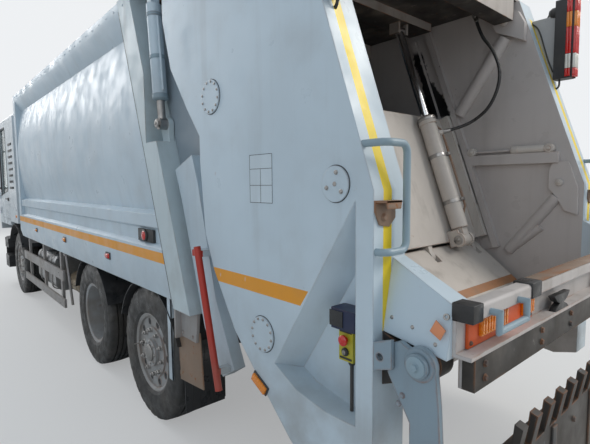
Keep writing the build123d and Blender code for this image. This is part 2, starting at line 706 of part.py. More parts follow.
def tailgate_top():
    # roof sheet, the crossbeams under it, the hinge lugs with their pins and the cylinders' anchors
    top, sheet_top = gate_top_z, gate_top_z + gate_sheet
    rear = post_x(top) + 20
    roof = xz_plate([(rear, top), (gate_front(top), top), (gate_front(sheet_top), sheet_top),
                     (rear, sheet_top)],
                    -half_width + 10, half_width - 10)
    beam_half = gate_inner_y - 76
    beam = box(rear - 12, rear + 128, -beam_half, beam_half, top - 160, top)
    tie = box(1180, 1400, -beam_half, beam_half, top - 65, top)
    front = box(1900, 2040, -gate_inner_y, gate_inner_y, top - 130, top)
    lug = y_bar(hinge_x, hinge_z, hinge_lug, 728, 760)
    lug += xz_plate([(hinge_x + 10, hinge_z + 30), (hinge_x, hinge_z - 30), (hinge_x - 120, sheet_top),
                     (hinge_x - 300, sheet_top)], 728, 760)
    pin = y_bar(hinge_x, hinge_z, hinge_radius, 660, 760)
    eye = Vector(*packer_plane.from_local_coords((cylinder_u, 0, rod_eye_s)))
    ears = box(eye.X - 45, eye.X + 45, cylinder_y - 66, cylinder_y + 66, eye.Z - 40, top - 65)
    ears -= box(eye.X - 50, eye.X + 50, cylinder_y - 42, cylinder_y + 42, eye.Z - 50, top - 65)
    ears += y_bar(eye.X, eye.Z, carriage_pin_radius, cylinder_y - 66, cylinder_y + 66)
    lift_lug = box(lift_top_x - 42, lift_top_x + 42, lift_y - 62, lift_y - 36, lift_top_z, top)
    lift_lug += y_bar(lift_top_x, lift_top_z, 42, lift_y - 62, lift_y - 36)
    lift_lug += y_bar(lift_top_x, lift_top_z, lift_pin_radius, lift_y - 62, lift_y + 45)
    points = hose_points()
    lead = (points[0] - points[1]).normalized()
    port = bar(points[0], points[0] + lead * ((top - points[0].Z) / lead.Z), hose_port_radius)
    port &= box(0, 2000, 0, half_width, 0, top + 2)
    return roof + beam + tie + front + both(lug + pin + ears + lift_lug + port)


def rear_lamps():
    case = box(150, 262, half_width - 100, half_width - 10, 2540, 3100)
    plate = xz_plate([(262, 2560), (post_x(2560), 2560), (post_x(3007), 3007), (262, 3007)], half_width - 70,
                     half_width - 60)
    return both(case + plate)


def grab_handles():
    # tall handles on the posts and small ones behind the sill, for the crew
    low, high, wide, near = 1545, 1935, half_width - 15, half_width - 140
    path = FilletPolyline((post_x(high) + 10, wide, high), (-40, wide, high), (-40, near, high),
                          (-40, near, low),
                          (-40, wide, low), (0, wide, low), radius=35)
    handle = sweep(Plane(origin=path @ 0, z_dir=path % 0) * Circle(handle_radius), path=path)
    handle -= xz_plate([(post_x(1800), 1800), (post_x(2100), 2100), (300, 2100), (300, 1800)], near,
                       half_width)
    x0, x1, z0, z1 = sill_x - sill_depth, sill_x - 99, 1296, 1360
    bend = Polyline((x0, 820, z1), (x1, 820, z1), (x1, 820, z0), (x1, 1040, z0), (x1, 1040, z1),
                    (x0, 1040, z1))
    loops = sweep(Plane(origin=bend @ 0, z_dir=bend % 0) * Circle(12), path=bend,
                  transition=Transition.RIGHT)
    return both(handle + loops)


def control_box():
    # small box with a deep lid on the niche floor, its conduit running down to the ledge
    floor_y = half_width - niche_depth
    case = box(140, 215, floor_y, half_width - 50, 1075, 1215)
    lid = box(118, 252, floor_y, half_width - 35, 1205, 1288)
    return case + fillet(lid.edges().filter_by(Axis.Z), 12) + bar((176, floor_y + 40, 1080),
                                                                  (176, floor_y + 40, 855), 8)


def safety_strut():
    strut = bar((1250, half_width + 24, 1440), (1050, half_width + 24, 660), 20)
    for x, z, reach in ((1240, 1400, 70), (1075, 760, 18)):
        strut += box(x - 18, x + reach, gate_skin_y + 75, half_width + 24, z - 18, z + 18)
    return strut


# Packer

def on_packer(u0, u1, y0, y1, s0, s1):
    block = Pos((u0 + u1) / 2, (y0 + y1) / 2, (s0 + s1) / 2) * Box(u1 - u0, y1 - y0, s1 - s0)
    return packer_plane * block


def foot_eye(radius, y0, y1):
    # disc about the pin at the foot of a carriage cylinder
    place = packer_plane * Pos(cylinder_u, (y0 + y1) / 2, cylinder_foot_s)
    return place * Rot(90, 0, 0) * Cylinder(radius, y1 - y0)


def carriage():
    body = on_packer(carriage_rear, carriage_front, -carriage_half, carriage_half, carriage_low,
                     carriage_high)
    shoe_u = (guide_rear + guide_front) / 2
    rib = on_packer(shoe_u - 45, carriage_rear, carriage_half - 35, carriage_half, carriage_low,
                    carriage_high)
    shoe_y = gate_inner_y - guide_depth + groove_depth - part_gap
    shoe = on_packer(shoe_u - 45, shoe_u + 45, carriage_half, shoe_y, carriage_low, carriage_low + 260)
    shoe += on_packer(shoe_u - 45, shoe_u + 45, carriage_half, shoe_y, carriage_high - 260, carriage_high)
    hinge = y_bar(blade_x, blade_z, blade_bar_radius, -carriage_half, carriage_half)
    ear = None
    for y in blade_ears:
        piece = y_bar(blade_x, blade_z, 62, y - blade_ear_thick / 2, y + blade_ear_thick / 2)
        piece += packer_plane * Pos(0, y, 40) * Box(110, blade_ear_thick, 90)
        ear = piece if ear is None else ear + piece
    lug = None
    for y in (cylinder_y - 60, cylinder_y + 60):
        piece = on_packer(cylinder_u - 15, cylinder_u + 75, y - 12, y + 12, cylinder_foot_s - 40,
                          cylinder_foot_s + 80)
        piece += foot_eye(52, y - 12, y + 12)
        lug = piece if lug is None else lug + piece
    lug += foot_eye(carriage_pin_radius, cylinder_y - 65, cylinder_y + 65)
    return body + both(rib + shoe + lug) + hinge + ear


def packer_blade():
    # box-section blade, curved below, hung on the carriage's hinge bar
    length = blade_length
    outline = [Line((62, 0, 20), (30, 0, 55)), Line((30, 0, 55), (-length + 40, 0, 20)),
               Line((-length + 40, 0, 20), (-length, 0, 0)), Line((-length, 0, 0), (-length + 30, 0, -22)),
               ThreePointArc((-length + 30, 0, -22), (-length / 2, 0, -120), (40, 0, -60)),
               Line((40, 0, -60), (62, 0, 20))]
    half = carriage_half
    blade = extrude(make_face(outline), amount=2 * half, dir=(0, 1, 0))
    blade = Pos(0, -half, 0) * blade
    blade -= y_bar(0, 0, blade_bar_radius + run_gap, -half - 1, half + 1)
    slot = blade_ear_thick / 2 + part_gap
    for y in blade_ears:
        blade -= y_bar(0, 0, 110, y - slot, y + slot)
    return Pos(blade_x, 0, blade_z) * Rot(0, -blade_rest_deg, 0) * blade


def cylinder_piece(radius, s0, s1):
    return packer_plane * Pos(cylinder_u, cylinder_y, (s0 + s1) / 2) * Cylinder(radius, s1 - s0)


def carriage_barrels():
    barrel = cylinder_piece(barrel_radius, barrel_start, barrel_end)
    barrel += cylinder_piece(barrel_radius + 6, barrel_end - 60, barrel_end)
    barrel += foot_eye(45, cylinder_y - 40, cylinder_y + 40)
    barrel += on_packer(cylinder_u - 35, cylinder_u + 35, cylinder_y - 40, cylinder_y + 40,
                        cylinder_foot_s + 20,
                        barrel_start + 10)
    barrel += bar(packer_point((cylinder_u, cylinder_y, hose_port_s)), hose_points()[-1], hose_port_radius)
    barrel -= cylinder_piece(barrel_bore, bore_start, barrel_end - 60)
    barrel -= cylinder_piece(rod_radius + run_gap, barrel_end - 100, barrel_end + 50)
    return both(barrel - foot_eye(carriage_pin_radius + run_gap, cylinder_y - 100, cylinder_y + 100))


def carriage_rods():
    # the rod's lower end stays inside the bore over the whole travel
    rod = cylinder_piece(rod_radius, bore_start + carriage_travel + rod_end_gap, rod_eye_s - 30)
    place = packer_plane * Pos(cylinder_u, cylinder_y, rod_eye_s) * Rot(90, 0, 0)
    return both(rod + place * Cylinder(40, 70) - place * Cylinder(carriage_pin_radius + run_gap, 200))


def hose(side):
    # one loop of hose from the roof's port to the port on a carriage cylinder
    points = [Vector(p.X, side * p.Y, p.Z) for p in hose_points()]
    runs = [b - a for a, b in zip(points, points[1:])]
    radii = []
    for before, after in zip(runs, runs[1:]):
        half_turn = math.radians(before.get_angle(after)) / 2
        radii.append(0.45 * min(before.length, after.length) / math.tan(half_turn))
    print("hose radii", [round(value) for value in radii], "least", 10 * hose_radius)
    return sweep_tube(points, radii, hose_radius)


# Tailgate lift cylinders

lift_axis = Vector(lift_low_x - lift_top_x, 0, lift_low_z - lift_top_z)
lift_span = lift_axis.length
lift_plane = Plane(origin=(lift_top_x, 0, lift_top_z), x_dir=(0, 1, 0), z_dir=lift_axis)


def lift_piece(radius, start, stop):
    return lift_plane * Pos(lift_y, 0, (start + stop) / 2) * Cylinder(radius, stop - start)


def lift_barrels():
    barrel = lift_piece(lift_barrel_radius, 60, lift_barrel_length)
    barrel += y_bar(lift_top_x, lift_top_z, 40, lift_y - 30, lift_y + 30)
    barrel += lift_plane * Pos(lift_y, 0, 45) * Box(60, 60, 60)
    pipe = lift_plane * Pos(lift_y, -lift_barrel_radius - 5, (150 + lift_barrel_length - 50) / 2)
    barrel += pipe * Cylinder(8, lift_barrel_length - 200)
    barrel -= lift_piece(lift_bore, 100, lift_barrel_length - 40)
    barrel -= lift_piece(lift_rod_radius + run_gap, 300, lift_barrel_length + 50)
    barrel -= y_bar(lift_top_x, lift_top_z, lift_pin_radius + run_gap, lift_y - 80, lift_y + 80)
    return both(barrel)


def lift_rods():
    # the rod carries the pin of its open pivot, outboard of the body's lug
    rod = lift_piece(lift_rod_radius, 130, lift_span - 30)
    rod += y_bar(lift_low_x, lift_low_z, 38, lift_y - lift_eye_half, lift_y + lift_eye_half)
    rod += y_bar(lift_low_x, lift_low_z, lift_pin_radius, lift_y + lift_eye_half,
                 lift_y + lift_eye_half + 12)
    return both(rod)


# Bin lift

def bin_lift():
    x, z = lift_arm_x, lift_arm_z
    outline = [(x + 80, z + 62), (x + 118, z + 44), (x + 130, z - 63), (x + 36, z - 217), (x + 34, z - 378),
               (x - 10, z - 518), (x - 120, z - 618), (x - 240, z - 628), (x - 240, z - 308),
               (x - 170, z - 308),
               (x - 110, z - 378), (x - 82, z - 252), (x - 74, z - 123), (x - 60, z)]
    inner_y = arm_y - arm_thick
    arm = xz_plate(outline, inner_y, arm_y) + y_bar(x, z, arm_eye_radius, inner_y, arm_y)
    arm -= y_bar(x, z, arm_pin_radius + run_gap, inner_y - 10, arm_y + 10)
    comb = box(x - 240, x - 170, -inner_y, inner_y, z - 398, z - 308) + y_bar(x - 180, z - 578, 40,
                                                                              -inner_y, inner_y)
    comb += box(x - 240, x - 220, -comb_half, comb_half, z - 628, z - 308)
    for index in range(-teeth_each_side, teeth_each_side + 1):
        y = index * tooth_pitch
        comb += xz_plate([(x - 240, z - 310), (x - 220, z - 310), (x - 232, z - 188),
                          (x - comb_reach, z - 198)],
                         y - 22, y + 22)
    return both(arm) + comb


def bin_lift_supports():
    # bracket under the cheek with the pivot pin, and an outer ear on the post that caps the pin
    x, z = lift_arm_x, lift_arm_z
    plate = xz_plate([(0, cheek_fold(0)), (0, 1040), (x, z - arm_eye_radius), (x, z)], gate_skin_y,
                     half_width - 55)
    plate += y_bar(x, z, arm_eye_radius, gate_skin_y, half_width - 55)
    plate -= xz_plate([(10, cheek_fold(10)), (sill_x - 20, cheek_fold(sill_x - 20)), (sill_x - 20, 1600),
                       (10, 1600)], gate_skin_y - 10, half_width)
    cap_in = arm_y + part_gap - 0.5
    pin = y_bar(x, z, arm_pin_radius, gate_skin_y, cap_in) + y_bar(x, z, 42, cap_in, half_width)
    ear = xz_plate([(0, 1216), (-81, 1244), (-83, 1138), (0, 1110)], cap_in, half_width)
    return both(plate + pin + ear - y_bar(-30, 1169, 14, cap_in - 5, half_width + 5))


# Cab

def cab_floor():
    floor = box(cab_back, cab_front - cab_wall, -cab_half + cab_wall, cab_half - cab_wall, cab_floor_z,
                cab_floor_z + 40)
    tunnel = box(cab_back + 60, 8520, -360, 360, cab_floor_z + 40, 1560)
    void = box(cab_back + 60 - 10, 8490, -330, 330, cab_floor_z - 10, 1530)
    return floor + tunnel - void


def cab_back_wall():
    return box(cab_back - cab_wall, cab_back, -cab_half, cab_half, cab_floor_z, cab_roof_z)


def cab_roof():
    side = [(cab_back - cab_wall, cab_roof_z), (cab_front - 130, cab_roof_z),
            (cab_front - 260, cab_roof_z + cab_crown), (cab_back + 100, cab_roof_z + cab_crown)]
    roof = xz_plate(side, -cab_half, cab_half)
    edges = roof.edges().filter_by(Axis.X).group_by(Axis.Z)[-1]
    return chamfer(edges, 60)


def cab_front_panel():
    x0 = cab_front - cab_wall
    lean = 140
    belt = cab_belt_z
    panel = box(x0, cab_front, -cab_half, cab_half, cab_low_z, belt)
    pillar = xz_plate([(x0, belt), (cab_front, belt), (cab_front - lean, cab_roof_z),
                       (x0 - lean, cab_roof_z)],
                      cab_half - 90, cab_half)
    header = xz_plate([(x0 - lean + 20, cab_roof_z - 150), (cab_front - lean + 20, cab_roof_z - 150),
                       (cab_front - lean, cab_roof_z), (x0 - lean, cab_roof_z)], -cab_half + 90,
                       cab_half - 90)
    lug = xz_plate([(cab_tilt_x, cab_tilt_z + 38), (x0, cab_tilt_z + 60), (x0, cab_tilt_z - 20),
                    (cab_tilt_x, cab_tilt_z - 38)], rail_outer_y + part_gap, rail_outer_y + part_gap + 30)
    lug += y_bar(cab_tilt_x, cab_tilt_z, 38, rail_outer_y + part_gap, rail_outer_y + part_gap + 30)
    lug += y_bar(cab_tilt_x, cab_tilt_z, hinge_radius, rail_outer_y - rail_flange - 10,
                 rail_outer_y + part_gap + 30)
    return panel + both(pillar + lug) + header


def cab_glass():
    x0 = cab_front - cab_wall + 20
    lean = 140 * (cab_roof_z - 150 - cab_belt_z) / (cab_roof_z - cab_belt_z)
    return xz_plate([(x0, cab_belt_z), (x0 + 8, cab_belt_z), (x0 + 8 - lean, cab_roof_z - 150),
                     (x0 - lean, cab_roof_z - 150)], -cab_half + 91, cab_half - 91)


def hinge_post(z):
    post = Pos(door_front, cab_half + 12, z) * Cylinder(12, 60)
    return post + Pos(door_front, cab_half + 12, z + 60) * Cylinder(6, 60)


def hinge_leaf(z):
    leaf = Pos(door_front, cab_half + 12, z + 60 + run_gap) * Cylinder(12, 59)
    leaf += box(door_front - 110, door_front, cab_half, cab_half + 8, z + 32, z + 88)
    return leaf - Pos(door_front, cab_half + 12, z + 60) * Cylinder(6 + run_gap, 100)


def cab_sides():
    # wall behind the door, sill under it and its wheel arch
    wall = box(cab_back, door_rear, cab_half - cab_wall, cab_half, cab_floor_z, cab_roof_z)
    wall += box(door_rear, cab_front - cab_wall, cab_half - cab_wall, cab_half, cab_low_z + 120,
                cab_floor_z + 30)
    wall -= y_bar(front_axle_x, tyre_radius, arch_radius + 30, 1000, 1300)
    wall += box(door_front, cab_front - cab_wall, cab_half - cab_wall, cab_half, cab_floor_z + 30,
                cab_belt_z)
    for z in hinge_heights:
        wall += hinge_post(z)
        wall += box(door_front, door_front + 60, cab_half, cab_half + 8, z - 30, z + 30)
    return both(wall)


def cab_door():
    gap = part_gap
    low, high = cab_floor_z + 30 + gap, cab_roof_z - gap
    outline = [(door_rear + gap, low), (door_front - gap, low), (door_front - gap, cab_belt_z),
               (door_front - gap - 100, high), (door_rear + gap, high)]
    door = xz_plate(outline, cab_half - cab_wall, cab_half)
    window = [(door_rear + 90, cab_belt_z - 60), (door_front - 90, cab_belt_z - 160),
              (door_front - 95, cab_belt_z), (door_front - 190, high - 90), (door_rear + 90, high - 90)]
    door -= xz_plate(window, cab_half - cab_wall - 10, cab_half + 10)
    for z in hinge_heights:
        door += hinge_leaf(z)
    return door


def cab_seats():
    seat = None
    for y in (-680, 680):
        piece = box(7450, 7950, y - 240, y + 240, 1500, 1620) + box(7400, 7520, y - 230, y + 230, 1620, 2250)
        piece += box(7520, 7900, y - 180, y + 180, cab_floor_z + 40, 1500)
        seat = piece if seat is None else seat + piece
    return seat


def cab_dash():
    dash = xz_plate([(cab_front - cab_wall, 1300), (cab_front - cab_wall, 1740), (8500, 1740), (8420, 1640),
                     (8540, 1500), (8600, 1300)], -cab_half + cab_wall + 5, cab_half - cab_wall - 5)
    dash -= box(8000, 8560, -370, 370, 1200, 1600)
    column = bar((8480, 680, 1560), (8205, 680, 1814), 30)
    place = Plane(origin=(8210, 680, 1810), z_dir=(-260, 0, 240))
    wheel = place * (Cylinder(230, 26) - Cylinder(202, 40))
    spoke = place * Box(410, 40, 16)
    return dash + column + wheel + spoke


def mirror_set():
    # housing on two arms fixed to the door's front edge
    near, middle = cab_half + mirror_out, cab_half + mirror_out + mirror_width / 2
    case = fillet(box(8500, 8580, near, near + mirror_width, 1860, 2340).edges().filter_by(Axis.Z), 25)
    for z, z_end in ((2420, 2300), (1760, 1900)):
        case += y_bar(8560, z, 22, cab_half, cab_half + 12) + bar((8560, cab_half + 8, z),
                                                                  (8540, middle, z), 14)
        case += bar((8540, middle, z), (8540, middle, z_end), 14)
    return case


def make_parts():
    parts = {
        "frame_rails": frame_rails(), "leaf_springs": leaf_springs(), "front_axle": front_axle(),
        "rear_axles": rear_axles(), "engine_block": engine_block(), "tanks": tanks(),
        "side_guards": both(side_guard()), "mudguards": mudguards(), "front_bumper": front_bumper(),
        "body_floor": body_floor(), "body_front_wall": body_front_wall(), "body_roof": body_roof(),
        "body_rear_frame": body_rear_frame(), "ejector_panel": ejector_panel(),
        "tailgate_hopper": tailgate_hopper(), "tailgate_top": tailgate_top(),
        "rear_lamps": rear_lamps(), "grab_handles": grab_handles(), "control_box": control_box(),
        "safety_strut": safety_strut(), "carriage": carriage(), "packer_blade": packer_blade(),
        "carriage_barrels": carriage_barrels(), "carriage_rods": carriage_rods(),
        "lift_barrels": lift_barrels(), "lift_rods": lift_rods(), "bin_lift": bin_lift(),
        "bin_lift_supports": bin_lift_supports(), "cab_floor": cab_floor(), "cab_back_wall": cab_back_wall(),
        "cab_roof": cab_roof(), "cab_front_panel": cab_front_panel(), "cab_glass": cab_glass(),
        "cab_sides": cab_sides(), "cab_seats": cab_seats(), "cab_dash": cab_dash(),
    }
    left = {"body_side": body_side(), "tailgate_side": tailgate_side(), "knuckle": knuckle(),
            "cab_door": cab_door(), "mirror": mirror_set()}
    parts["hose_left"], parts["hose_right"] = hose(1), hose(-1)
    left["front_tyre"], left["front_rim"] = single_wheel(front_axle_x, kingpin_y + 100, tyre_centre_y + 110)
    left["drive_tyres"], left["drive_rims"] = twin_wheel(drive_axle_x)
    left["tag_tyre"], left["tag_rim"] = single_wheel(tag_axle_x, 870, tyre_centre_y + 140)
    for name, shape in left.items():
        parts[name + "_left"] = shape
        parts[name + "_right"] = mirror(shape, about=Plane.XZ)
    return parts


def main():
    os.makedirs("parts", exist_ok=True)
    for name, shape in make_parts().items():
        export_step(Pos(shift_x, 0, 0) * shape, f"parts/{name}.step")


if __name__ == "__main__":
    main()
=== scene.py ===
import math
from itertools import product

import bmesh
import bpy
from mathutils import Matrix, Vector


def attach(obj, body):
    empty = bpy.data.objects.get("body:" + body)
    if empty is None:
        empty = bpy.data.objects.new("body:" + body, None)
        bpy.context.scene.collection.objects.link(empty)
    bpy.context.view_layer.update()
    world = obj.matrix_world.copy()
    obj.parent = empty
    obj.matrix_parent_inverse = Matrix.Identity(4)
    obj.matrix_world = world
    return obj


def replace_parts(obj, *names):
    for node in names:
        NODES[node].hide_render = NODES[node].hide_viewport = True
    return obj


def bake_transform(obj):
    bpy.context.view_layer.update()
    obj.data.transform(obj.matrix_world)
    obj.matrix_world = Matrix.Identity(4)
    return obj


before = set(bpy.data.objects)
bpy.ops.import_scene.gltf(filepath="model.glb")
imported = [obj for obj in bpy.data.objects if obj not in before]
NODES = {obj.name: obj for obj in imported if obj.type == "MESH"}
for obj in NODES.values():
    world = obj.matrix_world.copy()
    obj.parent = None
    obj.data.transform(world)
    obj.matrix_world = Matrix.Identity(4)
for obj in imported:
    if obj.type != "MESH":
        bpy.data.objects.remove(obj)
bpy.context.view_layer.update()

# Places are read along the truck from the rear posts, as x = 0, and SHIFT moves them to the frame.
# A detail that both sides have is placed for the left side, and its piece of the right side is mirrored.
SHIFT = -4.22
SIDES = (1, -1)
SUFFIX = {1: "_left", -1: "_right", 0: ""}
OUT, INWARD, REAR, AHEAD = (0, 1, 0), (0, -1, 0), (-1, 0, 0), (1, 0, 0)

# Sizes that the details share with the solids, in metres
HALF_WIDTH = 1.25
SKIN_Y, COVER_Y = 1.115, 1.258
POST_KINK_Z = 1.767
JOINT_X0, JOINT_SLOPE = 1.054, 0.36
TYRE_RADIUS = 0.515
TYRE_Y, TWIN_Y = 1.042, 0.706
FRONT_AXLE, DRIVE_AXLE, TAG_AXLE = 7.5, 3.6, 2.21
NUT_FACE = {"front": 0.112, "drive": -0.048, "tag": 0.112}
RAIL_Y, RAIL_TOP = 0.425, 1.0
GUARD_POSTS = (4.8, 5.7, 6.64)
FUEL_TANK_Y, AIR_TANK_Z = 1.15, 0.56
SILL_REAR, SILL_FRONT, SILL_TOP, SILL_HALF = -0.33, -0.262, 1.395, 1.165
SILL_BAR_LOW, SILL_WEB, SILL_LEDGE_TOP = 1.345, -0.276, 1.229
LAMP_X, LAMP_IN, LAMP_OUT = 0.15, 1.15, 1.24
CAB_HALF, CAB_FRONT, CAB_BELT, CAB_LEAN = 1.24, 8.87, 1.78, 0.14 / 1.1
PACKER_AT = Vector((0.76, 0, 1.25))
PACKER_UP = Vector((JOINT_SLOPE, 0, 1)).normalized()
PACKER_FRONT = Vector((1, 0, -JOINT_SLOPE)).normalized()
CYLINDER_U, CYLINDER_Y = -0.142, 0.62


def at(x, y, z):
    return Vector((x + SHIFT, y, z))


def on_packer(u, y, s):
    # place in the carriage's own frame: s up along its guides, u forward across them
    place = PACKER_AT + u * PACKER_FRONT + s * PACKER_UP
    return Vector((place.x, y, place.z))


# Node trees

def plug(tree, source, socket):
    # links an output to the socket, or sets the socket's own value
    if isinstance(source, bpy.types.NodeSocket):
        tree.links.new(source, socket)
    elif socket.type == "RGBA":
        socket.default_value = (*source, 1)
    else:
        socket.default_value = source


def add_node(tree, kind, inputs=None, **settings):
    node = tree.nodes.new(kind)
    for name, value in settings.items():
        setattr(node, name, value)
    for key, source in (inputs or {}).items():
        plug(tree, source, node.inputs[key])
    return node


# Stage: camera at the photograph's angle, pale floor, soft light

FOCAL_PIXELS, PHOTO_WIDTH = 438.5, 590
COOL, WARM = (0.78, 0.89, 1.0), (1.0, 0.95, 0.88)


def camera():
    data = bpy.data.cameras.new("camera")
    data.sensor_width = 36.0
    data.lens = FOCAL_PIXELS / PHOTO_WIDTH * data.sensor_width
    data.clip_end = 200.0
    yaw, pitch, roll = math.radians(-41.05), math.radians(-5.01), math.radians(0.54)
    forward = Vector((math.cos(yaw) * math.cos(pitch), math.sin(yaw) * math.cos(pitch), math.sin(pitch)))
    level = Vector((math.sin(yaw), -math.cos(yaw), 0))
    down = forward.cross(level)
    right = math.cos(roll) * level + math.sin(roll) * down
    below = -math.sin(roll) * level + math.cos(roll) * down
    cam = bpy.data.objects.new("camera", data)
    turn = Matrix((right, -below, -forward)).transposed().to_4x4()
    cam.matrix_world = Matrix.Translation(at(-0.986, 2.479, 1.793)) @ turn
    bpy.context.scene.collection.objects.link(cam)
    bpy.context.scene.camera = cam


def area_light(name, place, target, size, power, tint=(1, 1, 1)):
    data = bpy.data.lights.new(name, "AREA")
    data.shape = "DISK"
    data.size = size
    data.energy = power
    data.color = tint
    lamp = bpy.data.objects.new(name, data)
    lamp.location = place
    lamp.rotation_euler = (Vector(target) - Vector(place)).to_track_quat("-Z", "Y").to_euler()
    bpy.context.scene.collection.objects.link(lamp)


def lights():
    area_light("key", (-12, -8, 10), (-3, 0, 1.5), 7, 1100, WARM)
    area_light("fill", (-7, 11, 7), (-1, 0, 1.2), 10, 180, COOL)
    area_light("front", (12, 3, 8), (3, 0, 1.2), 8, 600)


def pale_world():
    # dim cool light on the truck, while the camera, glass and gloss see a pale background
    world = bpy.data.worlds.new("studio")
    bpy.context.scene.world = world
    world.use_nodes = True
    tree = world.node_tree
    tree.nodes.clear()
    dim = add_node(tree, "ShaderNodeBackground", {"Color": COOL, "Strength": 0.44})
    seen = add_node(tree, "ShaderNodeBackground", {"Color": (0.86, 0.88, 0.9)})
    path = add_node(tree, "ShaderNodeLightPath")
    share = path.outputs["Is Camera Ray"]
    for ray in ("Is Transmission Ray", "Is Glossy Ray"):
        either = add_node(tree, "ShaderNodeMath", {0: share, 1: path.outputs[ray]}, operation="MAXIMUM")
        share = either.outputs[0]
    mix = add_node(tree, "ShaderNodeMixShader", {0: share, 1: dim.outputs[0], 2: seen.outputs[0]})
    add_node(tree, "ShaderNodeOutputWorld", {0: mix.outputs[0]})


def floor():
    half = 60.0
    corners = [(-half, -half, 0), (half, -half, 0), (half, half, 0), (-half, half, 0)]
    mesh = bpy.data.meshes.new("floor")
    mesh.from_pydata(corners, [], [(0, 1, 2, 3)])
    ground = bpy.data.objects.new("floor", mesh)
    bpy.context.scene.collection.objects.link(ground)
    s = Shader("floor")
    s.set(Base_Color=(0.72, 0.71, 0.69), Roughness=0.9)
    # the camera sees part of its own pale colour, so it stays pale far from the lamps and keeps shadows
    glow = s.new("Emission", {"Color": (0.86, 0.87, 0.88)})
    part = s.times(s.new("LightPath").outputs["Is Camera Ray"], 0.4)
    mix = s.new("MixShader", {0: part, 1: s.out.outputs[0], 2: glow.outputs[0]})
    plug(s.tree, mix.outputs[0], s.tree.nodes["Material Output"].inputs["Surface"])
    mesh.materials.append(s.material)


# Materials

class Shader:
    # builds one procedural material, node by node
    def __init__(self, name):
        self.material = bpy.data.materials.new(name)
        self.material.use_nodes = True
        self.tree = self.material.node_tree
        self.out = self.tree.nodes["Principled BSDF"]
        self.place = self.new("TexCoord")

    def new(self, kind, inputs=None, **settings):
        return add_node(self.tree, "ShaderNode" + kind, inputs, **settings)

    def set(self, **values):
        # values or outputs for the main shader's sockets, whose names have _ for each space
        for name, value in values.items():
            plug(self.tree, value, self.out.inputs[name.replace("_", " ")])

    def math(self, kind, a, b=0.5):
        return self.new("Math", {0: a, 1: b}, operation=kind).outputs[0]

    def times(self, a, b):
        return self.math("MULTIPLY", a, b)

    def along(self, direction, output="Object"):
        # the place, or the surface's facing, measured along a direction
        place = self.place.outputs[output]
        return self.new("VectorMath", {0: place, 1: direction}, operation="DOT_PRODUCT").outputs["Value"]

    def noise(self, scale, stretch=(1, 1, 1), detail=4.0, rough=0.55):
        shift = (scale * 0.37, scale * 0.11, scale * 0.73)
        place = self.new("Mapping", {0: self.place.outputs["Object"], "Scale": stretch, "Location": shift})
        return self.new("TexNoise", {"Vector": place.outputs[0], "Scale": scale, "Detail": detail,
                                     "Roughness": rough}).outputs[0]

    def ramp(self, value, low, high, top=1.0, start=0.0):
        return self.new("MapRange", {"Value": value, "From Min": low, "From Max": high, "To Min": start,
                                     "To Max": top}, interpolation_type="SMOOTHSTEP").outputs[0]

    def mix(self, share, a, b):
        return self.new("Mix", {0: share, 6: a, 7: b}, data_type="RGBA").outputs[2]

    def bump(self, height, strength, distance, round_edge=0.0):
        inputs = {"Strength": strength, "Distance": distance, "Height": height}
        if round_edge:
            inputs["Normal"] = self.new("Bevel", {"Radius": round_edge}, samples=4).outputs[0]
        self.set(Normal=self.new("Bump", inputs).outputs[0])

    def edges(self, width):
        # 1 where the surface turns within that width
        soft = self.new("Bevel", {"Radius": width}, samples=4).outputs[0]
        facing = self.new("NewGeometry").outputs["Normal"]
        same = self.new("VectorMath", {0: soft, 1: facing}, operation="DOT_PRODUCT").outputs["Value"]
        return self.ramp(self.math("SUBTRACT", 1.0, same), 0.01, 0.12)

    def band(self, value, low, high):
        return self.times(self.math("GREATER_THAN", value, low), self.math("LESS_THAN", value, high))

    def where(self, *conditions):
        # 1 where each condition holds: (direction, low, high) of the place, or with "Normal" of the facing
        share = 1.0
        for direction, low, high, *output in conditions:
            moved = 0.0 if output else direction[0] * SHIFT
            share = self.times(share, self.band(self.along(direction, *output), low + moved, high + moved))
        return share


X, Y, Z = (1, 0, 0), (0, 1, 0), (0, 0, 1)
RUST = (0.2, 0.065, 0.022)
RUST_LIGHT = (0.42, 0.19, 0.08)
GRIME = (0.15, 0.125, 0.1)
EARTH = (0.2, 0.16, 0.12)
# near black: painted shade on the comb and on the top's downward faces, and the dark beam under the sill
NEAR_BLACK = (0.03, 0.026, 0.023)
GREASE = (0.006, 0.006, 0.007)
ORANGE = (0.84, 0.34, 0.02)
YELLOW = (0.93, 0.68, 0.02)
# white paint, darkened and tinted blue-grey: painted sky shade
WHITE_IN_SKY_SHADE = (0.6, 0.7, 0.77)
# the hopper's inside, darker than the packer's cream: dirt and painted shade
INNER = (0.56, 0.52, 0.5)


def shade(color, factor):
    return tuple(c * factor for c in color)


